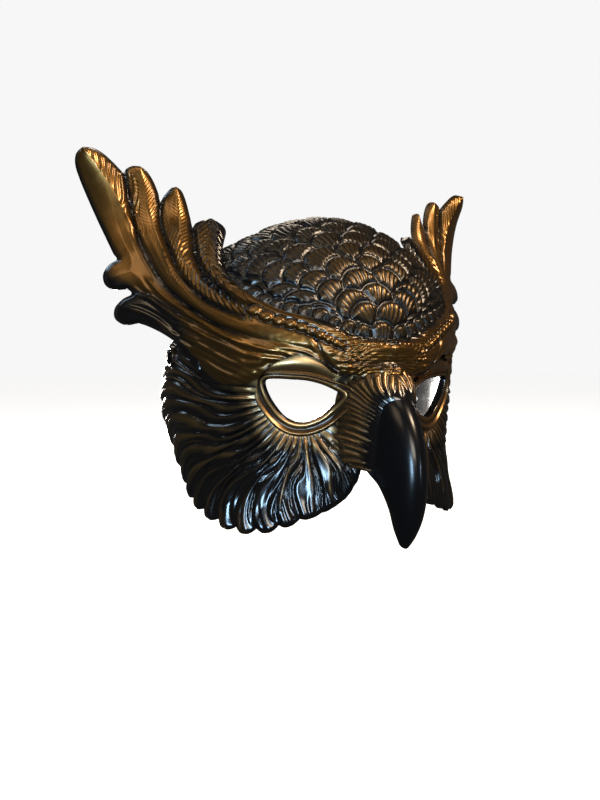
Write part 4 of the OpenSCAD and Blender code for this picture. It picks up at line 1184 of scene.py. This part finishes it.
def build_collar():
    """Tuft of bristles that grows off the face and lies over the root of the beak."""
    half, nu = 260, 56
    v = np.linspace(-1, 1, 2 * half + 1)
    av = np.abs(v)
    t = 5 * av
    N = cr(NOTCH, t)
    T = cr(NOTCH, np.minimum(t + 0.02, 5)) - cr(NOTCH, np.maximum(t - 0.02, 0))
    T = T / np.linalg.norm(T, axis=-1, keepdims=True)
    n = np.stack([-T[:, 1], T[:, 0]], -1)
    n[:, 0] = n[:, 0] * sst(av / 0.10)
    n = n / np.linalg.norm(n, axis=-1, keepdims=True)
    a0 = mix(8.0, 13.0, sst(av / 0.35)) * (1 - 0.30 * sst((av - 0.78) / 0.22))
    kk = np.array(COLLAR_END, float)
    tb = cr(kk[:, 1], np.interp(av, kk[:, 0], np.arange(len(kk))))
    fb = cr(kk[:, 2], np.interp(av, kk[:, 0], np.arange(len(kk))))
    rr_ = np.array(COLLAR_ROOT, float)
    tr = np.interp(av, rr_[:, 0], rr_[:, 1])
    fr = np.interp(av, rr_[:, 0], rr_[:, 2])

    def face(k, h):
        q = N + n * (a0 * k)[:, None]
        return fpt(q[:, 0], q[:, 1], h)

    def bk(k, h):
        tt, ff = mix(tr, tb, k), mix(fr, fb, k)
        P = beak_pt(tt, ff, 0)
        e = cr(B_EDGE, tt)
        d = P - np.stack([0 * e[:, 0], e[:, 1], e[:, 2]], -1)
        d = d / np.linalg.norm(d, axis=-1, keepdims=True)
        return P + d * np.reshape(h, (-1, 1))
    fade = 1 - 0.55 * sst((av - 0.7) / 0.3)
    A, P1 = face(1.0, np.full(len(v), -0.5)), face(0.42, 3.4 * fade)
    P2, Bp = bk(0.42, 2.7 * fade), bk(1.0, np.full(len(v), -0.35))
    u = np.linspace(0, 1, nu)[None, :, None]
    S = ((1 - u) ** 3 * A[:, None] + 3 * u * (1 - u) ** 2 * P1[:, None] + 3 * u ** 2 * (1 - u) * P2[:, None] + u ** 3 * Bp[:, None])
    S[..., 0] *= np.where(v < 0, -1, 1)[:, None]
    S[half, :, 0] = 0
    nr = normals(S)
    # outward is away from the wearer
    ref = S - np.array([0, -80, -35])
    nr = np.where(np.sum(nr * ref, -1, keepdims=True) < 0, -nr, nr)
    U, V = np.broadcast_to(u[..., 0], S.shape[:2]), np.broadcast_to(v[:, None], S.shape[:2])
    aV = np.abs(V)
    ph = 18.5 * aV - 2.2 * U * sst((0.75 - aV) / 0.5) + 1.1 * (vnoise(aV * 7, U * 2.0, 81) - 0.5) + 0.3 * (V < 0) * sst(aV / 0.2)
    k = np.floor(ph)
    f = ph - k
    st = np.sin(PI * f) ** 1.15
    s0 = 0.02 + 0.26 * hash01(k, 82)
    s1 = 0.74 + 0.26 * hash01(k, 83)
    on = sst((U - s0) / 0.10) * sst((s1 - U) / 0.38)
    tall = 0.75 + 0.5 * hash01(k, 84)
    hh = (1.05 * tall * st - 0.35) * on - 0.45 * sst((s0 - U) / 0.08) - 0.6 * sst((U - 0.78) / 0.22)
    hh = hh + 0.045 * np.sin(2 * PI * (ph * 3 + 2 * vnoise(aV * 9, U * 5, 85))) * on
    O = S + nr * hh[..., None]
    I = S - nr * 1.5
    gold = (0.42 + 0.36 * sst((st - 0.35) / 0.5) + 0.04 * (1 - sst(aV / 0.3))) * sst((U + 0.3) / 0.3) * (1 - sst((U - 0.46 - 0.14 * hash01(k, 86)) / 0.30))
    gold = gold * (0.75 + 0.25 * hash01(k, 87))
    nv_ = len(v)
    P = np.concatenate([O.reshape(-1, 3), I.reshape(-1, 3)])
    ia = np.arange(nv_ * nu).reshape(nv_, nu)
    ib = ia + nv_ * nu
    Q = [gq(nv_, nu, 0), gq(nv_, nu, nv_ * nu, flip=True), strip(ia[:, 0], ib[:, 0], flip=True), strip(ia[:, -1], ib[:, -1]),
         strip(ia[0], ib[0]), strip(ia[-1], ib[-1], flip=True)]
    G = np.concatenate([gold.ravel(), np.zeros(nv_ * nu)])
    ob = make_mesh("beak_collar", P, np.concatenate(Q), None, {"gold": G}, sharp=0)
    bm = bmesh.new()
    bm.from_mesh(ob.data)
    bmesh.ops.recalc_face_normals(bm, faces=bm.faces)
    bm.to_mesh(ob.data)
    bm.free()
    finish_piece(ob, M_FACE, "mask", "bronze_face")


COLLAR_END = [[0, 1.7, 1.5708], [0.12, 1.6, 1.2], [0.28, 1.75, 0.86], [0.48, 2.55, 0.66], [0.68, 3.55, 0.52], [0.85, 4.45, 0.42], [1.0, 5.15, 0.28]]
COLLAR_ROOT = [[0, 0, 1.5708], [0.15, 0, 0.8], [0.3, 0.5, 0.15], [0.5, 1.7, 0.0], [0.7, 3.0, 0.0], [0.85, 4.1, 0.0], [1, 5.0, 0.0]]


def build_rim(sg, name, node):
    n, m = 300, 6
    prof = np.array(RIM, float)
    pr = crc(prof, np.linspace(0, len(prof), len(prof) * m, endpoint=False))
    j = np.linspace(0, len(EYE), n, endpoint=False)
    p, q = crc(EYE, j), crc(EYE, j + 0.05)
    g = (q - p) / np.linalg.norm(q - p, axis=-1, keepdims=True)
    k = sst((-12 - p[:, 1]) / 9)
    w = mix(2, 5.5, k)
    o = pr[None, :, 0] + w[:, None] * pr[None, :, 1]
    hs = np.where(pr[None, :, 2] > 0, pr[None, :, 2] * mix(0.75, 1, k)[:, None], pr[None, :, 2])
    c = p[:, None, :] + np.stack([g[:, 1], -g[:, 0]], -1)[:, None, :] * o[..., None]
    V = fpt(c[..., 0], c[..., 1], hs) * np.array([sg, 1, 1])
    gold = np.clip(0.25 + 0.42 * (hs - 0.4), 0.02, 0.95) * np.where(pr[None, :, 0] < -1.0, 0.25, 1.0)
    groove = np.exp(-((pr[None, :, 1] - 0.44) / 0.16) ** 2) * (pr[None, :, 2] > 0.9)
    gold = gold * (1 - 0.45 * groove)
    ob = make_mesh(name, V, gq(n, len(pr), 0, True, True, flip=sg > 0), None, {"gold": gold}, sharp=0)
    finish_piece(ob, M_RIM, "mask", "bronze_rim", node)


# ---------------------------------------------------------------- strap and fittings
def build_strap():
    R = 79.9
    arc = R * PI
    L = 20.0
    ns = 420
    s = np.linspace(0, 2 * L + arc, ns)
    cx, cy, nx, ny = np.zeros(ns), np.zeros(ns), np.zeros(ns), np.zeros(ns)
    a1, a2 = s < L, s > L + arc
    mid = ~(a1 | a2)
    cx[a1], cy[a1], nx[a1] = R, 8 + s[a1], 1
    th = (s[mid] - L) / R
    cx[mid], cy[mid], nx[mid], ny[mid] = R * np.cos(th), 28 + R * np.sin(th), np.cos(th), np.sin(th)
    cx[a2], cy[a2], nx[a2] = -R, 28 - (s[a2] - L - arc), -1
    # section: flat band with soft selvedges and shallow ribs
    zt = np.linspace(-1, 1, 49)
    zz = 10.0 * zt
    th_ = 0.8 * np.sqrt(np.clip(1 - np.abs(zt) ** 14, 0.0, 1)) - 0.05 * (0.5 - 0.5 * np.cos(2 * PI * zz / 2.5))
    th_ = np.maximum(th_, 0.25)
    th_[np.abs(zt) > 0.86] += 0.03
    outer = np.stack([np.minimum(th_, 0.8), zz], -1)
    inner = np.stack([-np.minimum(th_, 0.8), zz], -1)[::-1]
    sec = np.concatenate([outer, inner])
    m = len(sec)
    V = np.zeros((ns, m, 3))
    V[..., 0] = cx[:, None] + nx[:, None] * sec[None, :, 0]
    V[..., 1] = cy[:, None] + ny[:, None] * sec[None, :, 0]
    V[..., 2] = sec[None, :, 1]
    Q = [gq(ns, m, 0, False, True)]
    idx = np.arange(ns * m).reshape(ns, m)
    h = m // 2
    for e, rev in ((0, False), (ns - 1, True)):
        a, b = idx[e, :h], idx[e, h:][::-1]
        Q.append(strip(a, b, flip=rev))
    along = np.broadcast_to(s[:, None], (ns, m))
    across = np.broadcast_to(sec[None, :, 1], (ns, m))
    ob = make_mesh("elastic_band", V, np.concatenate(Q), None, {"along": along, "across": across}, sharp=40)
    bm = bmesh.new()
    bm.from_mesh(ob.data)
    bmesh.ops.recalc_face_normals(bm, faces=bm.faces)
    bm.to_mesh(ob.data)
    bm.free()
    finish_piece(ob, M_WEB, "strap", "elastic", "head_strap")


def stitches(name, places, mat, body, slot_name):
    """Small thread loops, all in one piece: places are (centre, along, up) in mm, 2.2 mm long."""
    V, Q = [], []
    ns, nc = 9, 8
    for c, al, upv in places:
        c, al, upv = np.asarray(c, float), np.asarray(al, float), np.asarray(upv, float)
        side = np.cross(al, upv)
        t = np.linspace(-1, 1, ns)
        base = len(V) * ns * nc
        cc = c + al * (t * 1.1)[:, None] + upv * ((1 - t ** 2) * 0.32 - 0.12)[:, None]
        r = 0.26 * np.sqrt(np.clip(1 - (np.abs(t) ** 4) * 0.85, 0.05, 1))
        a = np.linspace(0, 2 * PI, nc, endpoint=False)
        ring = cc[:, None, :] + r[:, None, None] * (np.cos(a)[None, :, None] * side + np.sin(a)[None, :, None] * upv)
        V.append(ring)
        q = gq(ns, nc, base, False, True)
        Q.append(q)
        i = np.arange(ns * nc).reshape(ns, nc) + base
        for e in (0, ns - 1):
            w = i[e]
            Q.append(np.array([[w[0], w[1], w[2], w[3]], [w[0], w[3], w[4], w[7]], [w[4], w[5], w[6], w[7]]]))
    ob = make_mesh(name, np.concatenate([v.reshape(-1, 3) for v in V]), np.concatenate(Q), sharp=0)
    bm = bmesh.new()
    bm.from_mesh(ob.data)
    bmesh.ops.recalc_face_normals(bm, faces=bm.faces)
    bm.to_mesh(ob.data)
    bm.free()
    return finish_piece(ob, mat, body, slot_name)


def build_tab(sg, name, node):
    """Leather end tab: rounded edge, pressed border groove, hole for the rivet."""
    outline = []
    for a in np.linspace(180, 360, 49):
        outline.append((7.5 * math.cos(math.radians(a)), 7.5 * math.sin(math.radians(a))))
    outline += [(8.0, 6), (8.5, 12), (8.5, 18), (8.5, 21.5), (8.0, 23.2), (6.5, 24), (0, 24), (-6.5, 24), (-8.0, 23.2), (-8.5, 21.5), (-8.5, 18), (-8.5, 12), (-8.0, 6)]
    o = np.array(outline, float)
    c = np.vstack([o, o[:1]])
    seg = np.hypot(*np.diff(c, axis=0).T)
    cs = np.concatenate([[0], np.cumsum(seg)])
    n = 200
    ss = np.linspace(0, cs[-1], n, endpoint=False)
    o = np.stack([np.interp(ss, cs, c[:, 0]), np.interp(ss, cs, c[:, 1])], -1)
    # start both loops at the same angle from the rivet's axis
    hole = 2.45
    ang = np.arctan2(o[:, 1], o[:, 0])
    inn = np.stack([np.cos(ang), np.sin(ang)], -1) * hole
    rows = np.array([0, .02, .08, .2, .35, .5, .62, .72, .80, .84, .88, .92, .96, .985, 1.0])
    D = o - inn
    ln = np.hypot(*D.T)[:, None]
    mm_in = (1 - rows)[None, :] * ln
    pos = inn[:, None, :] + D[:, None, :] * rows[None, :, None]
    top = 1.95 - 0.45 * sst((0.7 - mm_in) / 0.7) ** 2 - 0.16 * np.exp(-((mm_in - 1.9) / 0.35) ** 2) - 0.2 * sst((0.5 - rows[None, :] * ln) / 0.5)
    top = top + 0.04 * (vnoise(pos[..., 0] * 0.5, pos[..., 1] * 0.5, 61) - 0.5)
    top = np.minimum(top, 1.95)
    bot = 0.0 + 0.35 * sst((0.6 - mm_in) / 0.6) ** 2
    k = len(rows)

    def world(p2, hgt):
        # local +X runs along -Z on the left side and +Z on the right side; local Z runs outward
        return np.stack([sg * (80.85 + hgt), p2[..., 1], -sg * p2[..., 0]], -1)
    A = world(pos, top)
    B = world(pos, bot)
    P = np.concatenate([A.reshape(-1, 3), B.reshape(-1, 3)])
    ia = np.arange(n * k).reshape(n, k)
    ib = ia + n * k
    Q = [gq(n, k, 0, True), gq(n, k, n * k, True, flip=True)]
    Q.append(np.stack([ia[:, -1], np.roll(ia[:, -1], -1), np.roll(ib[:, -1], -1), ib[:, -1]], -1))
    Q.append(np.stack([np.roll(ia[:, 0], -1), ia[:, 0], ib[:, 0], np.roll(ib[:, 0], -1)], -1))
    ob = make_mesh(name, P, np.concatenate(Q), sharp=60)
    bm = bmesh.new()
    bm.from_mesh(ob.data)
    bmesh.ops.recalc_face_normals(bm, faces=bm.faces)
    bm.to_mesh(ob.data)
    bm.free()
    finish_piece(ob, M_LEATHER, "strap", "strap_leather", node)


def build_threads():
    pl = []
    for sg in (1, -1):
        up = (sg, 0, 0)
        for z in (-6.3, 6.3):
            for y in np.arange(10.2, 23, 2.9):
                pl.append(((sg * 82.72, y, z), (0, 1, 0), up))
        for y in (10.0, 22.4):
            for z in np.arange(-4.5, 4.6, 3.0):
                pl.append(((sg * 82.72, y, z), (0, 0, 1), up))
    stitches("tab_stitches", pl, M_THREAD, "strap", "strap_leather")


def pad_piece(name, center, inward, nu, nv, thick, node, seams=(), power=2.6, edge=0.16):
    """Padded piece on a curved patch. center(u, v) is on the back face, inward(u, v) points toward the wearer."""
    u = np.linspace(-1, 1, nu)
    v = np.linspace(-1, 1, nv)
    U, V = np.meshgrid(u, v, indexing="ij")
    # square grid to a rounded patch
    Ud = U * np.sqrt(np.maximum(1 - 0.5 * np.abs(V) ** power * edge * 2, 0.05))
    Vd = V * np.sqrt(np.maximum(1 - 0.5 * np.abs(U) ** power * edge * 2, 0.05))
    C = center(Ud, Vd)
    N = inward(Ud, Vd)
    r = np.maximum(np.abs(U), np.abs(V))
    puff = np.clip(1 - r ** 6, 0, 1) ** 0.5
    crown = 0.80 + 0.20 * np.clip(1 - (0.5 * (U ** 2 + V ** 2)), 0, 1)
    t = thick * (0.30 + 0.70 * puff * crown)
    for axis, pos, w in seams:
        W = U if axis == "u" else V
        t = t - thick * 0.30 * np.exp(-((W - pos) / w) ** 2) * np.clip(1 - r ** 8, 0, 1)
    t = t + thick * 0.05 * (vnoise(U * 4 + 3, V * 4 + 7, 71) - 0.5) * puff
    back = 0.25 + 0.5 * sst((r - 0.9) / 0.1)
    Fp = C + N * t[..., None]
    Bp = C + N * back[..., None]
    P = np.concatenate([Fp.reshape(-1, 3), Bp.reshape(-1, 3)])
    ia = np.arange(nu * nv).reshape(nu, nv)
    ib = ia + nu * nv
    loop_a = np.concatenate([ia[:, 0], ia[-1, 1:], ia[::-1, -1][1:], ia[0, ::-1][1:]])
    loop_b = loop_a + nu * nv
    Q = [gq(nu, nv, 0), gq(nu, nv, nu * nv, flip=True), strip(loop_a, loop_b)]
    ob = make_mesh(name, P, np.concatenate(Q), sharp=0)
    bm = bmesh.new()
    bm.from_mesh(ob.data)
    bmesh.ops.recalc_face_normals(bm, faces=bm.faces)
    bm.to_mesh(ob.data)
    bm.free()
    finish_piece(ob, M_FOAM, "mask", "foam", node)
    return ob


def build_pads():
    def fh_c(u, v):
        a = np.radians(36 * 0.985) * u
        z = mix(13.2, 33.6, (v + 1) / 2)
        r = mix(81.3, 75.4, (v + 1) / 2)
        return np.stack([r * np.sin(a), -r * np.cos(a), z], -1)

    def fh_n(u, v):
        a = np.radians(36) * u
        return np.stack([-0.96 * np.sin(a), 0.96 * np.cos(a), np.full(np.shape(u), -0.28)], -1)
    pad_piece("forehead_pad_foam", fh_c, fh_n, 150, 36, 5.0, "forehead_pad", [("u", -0.5, 0.03), ("u", 0.0, 0.03), ("u", 0.5, 0.03)])

    def cr_c(u, v):
        # disc on the sphere within 27 of the axis through (0, 12)
        rad = np.maximum(np.abs(u), np.abs(v))
        th = np.arctan2(v, u)
        x, y = 26.6 * rad * np.cos(th), 12 + 26.6 * rad * np.sin(th)
        R = 84.3
        return np.stack([x, y, np.sqrt(R * R - x * x - (y + 9.5) ** 2) - 5.7], -1)

    def cr_n(u, v):
        c = cr_c(u, v) - np.array([0, -9.5, -5.7])
        return -c / np.linalg.norm(c, axis=-1, keepdims=True)
    pad_piece("crown_pad_foam", cr_c, cr_n, 90, 90, 5.0, "crown_pad", [("u", 0.0, 0.035), ("v", 0.0, 0.035)], edge=0.0)

    def ns_c(u, v):
        x = 15.6 * u
        y = -90.0 + 0.031 * x * x
        return np.stack([x, y, -7.0 + 4.3 * v], -1)

    def ns_n(u, v):
        x = 15.6 * u
        n = np.stack([-0.055 * x, np.ones(np.shape(u)), 0 * x], -1)
        return n / np.linalg.norm(n, axis=-1, keepdims=True)
    pad_piece("nose_pad_foam", ns_c, ns_n, 80, 24, 3.9, "nose_pad", [("u", 0.0, 0.05)])
    for sg, nm in ((1, "left"), (-1, "right")):
        def ck_c(u, v, sg=sg):
            a = np.radians(48 + 9.7 * u)
            r = 79.9
            return np.stack([sg * r * np.sin(a), -r * np.cos(a), -68 + 9.6 * v], -1)

        def ck_n(u, v, sg=sg):
            a = np.radians(48 + 9.7 * u)
            return np.stack([-sg * np.sin(a), np.cos(a), 0 * a], -1)
        pad_piece("cheek_pad_foam_" + nm, ck_c, ck_n, 48, 36, 4.9, "cheek_pad_" + nm, [("v", 0.0, 0.05)])


for nname, mat in (("temple_rivets", M_RIVET), ("spacer_washers", M_NYLON), ("back_washers", M_STEEL), ("strap_slider", M_SLIDER)):
    o_ = frame["nodes"][nname]
    o_.data.materials.clear()
    o_.data.materials.append(mat)

build_face()
build_plume(-1, "plume_wearers_right", "plume_right")
build_plume(1, "plume_wearers_left", "plume_left")
build_crown()
build_beak()
build_collar()
build_rim(-1, "eye_lip_right", "eye_rim_right")
build_rim(1, "eye_lip_left", "eye_rim_left")
build_strap()
build_tab(-1, "leather_tab_right", "strap_tab_right")
build_tab(1, "leather_tab_left", "strap_tab_left")
build_threads()
build_pads()

# ---------------------------------------------------------------- floor, light, camera
fl = bpy.data.meshes.new("floor")
fl.from_pydata([(-6, -6, -0.191), (6, -6, -0.191), (6, 6, -0.191), (-6, 6, -0.191)], [], [(0, 1, 2, 3)])
floor = bpy.data.objects.new("floor", fl)
bpy.context.scene.collection.objects.link(floor)
fm, fnt, fb = nodes_of("floor_paint")
fb.inputs["Base Color"].default_value = (0.86, 0.86, 0.86, 1)
fb.inputs["Roughness"].default_value = 0.9
fb.inputs["Specular IOR Level"].default_value = 0.1
fb.inputs["Emission Color"].default_value = (1, 1, 1, 1)
fb.inputs["Emission Strength"].default_value = 0.885
floor.visible_glossy = False
floor.visible_diffuse = False
floor.data.materials.append(fm)

world = bpy.data.worlds.new("studio")
bpy.context.scene.world = world
world.use_nodes = True
wn = world.node_tree
wn.nodes.clear()
wo = wn.nodes.new("ShaderNodeOutputWorld")
bg_seen = wn.nodes.new("ShaderNodeBackground")
bg_seen.inputs[0].default_value = (0.93, 0.93, 0.93, 1)
bg_seen.inputs[1].default_value = 1.0
bg_fill = wn.nodes.new("ShaderNodeBackground")
bg_fill.inputs[0].default_value = (1.0, 0.93, 0.84, 1)
bg_fill.inputs[1].default_value = 0.045
lp = wn.nodes.new("ShaderNodeLightPath")
mxs = wn.nodes.new("ShaderNodeMixShader")
wn.links.new(lp.outputs["Is Camera Ray"], mxs.inputs[0])
wn.links.new(bg_fill.outputs[0], mxs.inputs[1])
wn.links.new(bg_seen.outputs[0], mxs.inputs[2])
wn.links.new(mxs.outputs[0], wo.inputs[0])


def area(name, loc, target, size, power, color):
    d = bpy.data.lights.new(name, "AREA")
    d.shape = "RECTANGLE"
    d.size, d.size_y = size
    d.energy = power
    d.color = color
    o = bpy.data.objects.new(name, d)
    o.location = loc
    o.rotation_mode = "QUATERNION"
    o.rotation_quaternion = (Vector(target) - Vector(loc)).to_track_quat("-Z", "Y")
    bpy.context.scene.collection.objects.link(o)
    return o


area("warm_key", (0.50, -0.85, 0.90), (0, -0.02, 0.02), (0.30, 0.30), 16.0, (1.0, 0.76, 0.52))
area("cool_side", (-0.80, -0.95, -0.02), (0, -0.03, -0.01), (0.19, 0.30), 8.5, (0.44, 0.71, 1.0))
area("cool_front", (0.46, -1.10, -0.03), (0, -0.08, -0.03), (0.09, 0.12), 1.2, (0.50, 0.74, 1.0))
area("cool_back_left", (-0.85, 0.55, 0.85), (0, -0.04, 0.0), (0.36, 0.36), 1.5, (0.60, 0.80, 1.0))
area("warm_left", (-0.95, -0.35, 0.75), (-0.05, 0.0, 0.03), (0.42, 0.42), 1.6, (1.0, 0.76, 0.48))
area("pale_front", (-0.50, -1.20, 0.36), (0, -0.05, 0.02), (0.46, 0.34), 6.0, (1.0, 0.92, 0.80))
area("soft_top", (-0.25, -0.30, 1.2), (0, 0, 0.02), (0.5, 0.5), 1.4, (1.0, 0.82, 0.60))
area("back_fill", (0.25, 0.95, 1.1), (0, 0, 0), (0.5, 0.5), 3.0, (1.0, 0.86, 0.70))
area("back_low", (0.10, 1.35, -0.03), (0, 0, 0.02), (0.9, 0.26), 20.0, (1.0, 0.95, 0.90))

cam_d = bpy.data.cameras.new("camera")
cam_d.sensor_width = 36
cam_d.lens = 27
cam_d.clip_start = 0.01
cam_d.clip_end = 50
cam = bpy.data.objects.new("camera", cam_d)
right = Vector((0.9177, -0.3972, 0.0)).normalized()
fwd = Vector((0.3961, 0.9153, -0.0715)).normalized()
upv = right.cross(fwd).normalized()
right = fwd.cross(upv).normalized()
rot = Matrix((right, upv, -fwd)).transposed()
cam.matrix_world = Matrix.Translation((-0.160, -0.350, 0.0)) @ rot.to_4x4()
bpy.context.scene.collection.objects.link(cam)
bpy.context.scene.camera = cam
bpy.context.scene.view_settings.view_transform = "Standard"
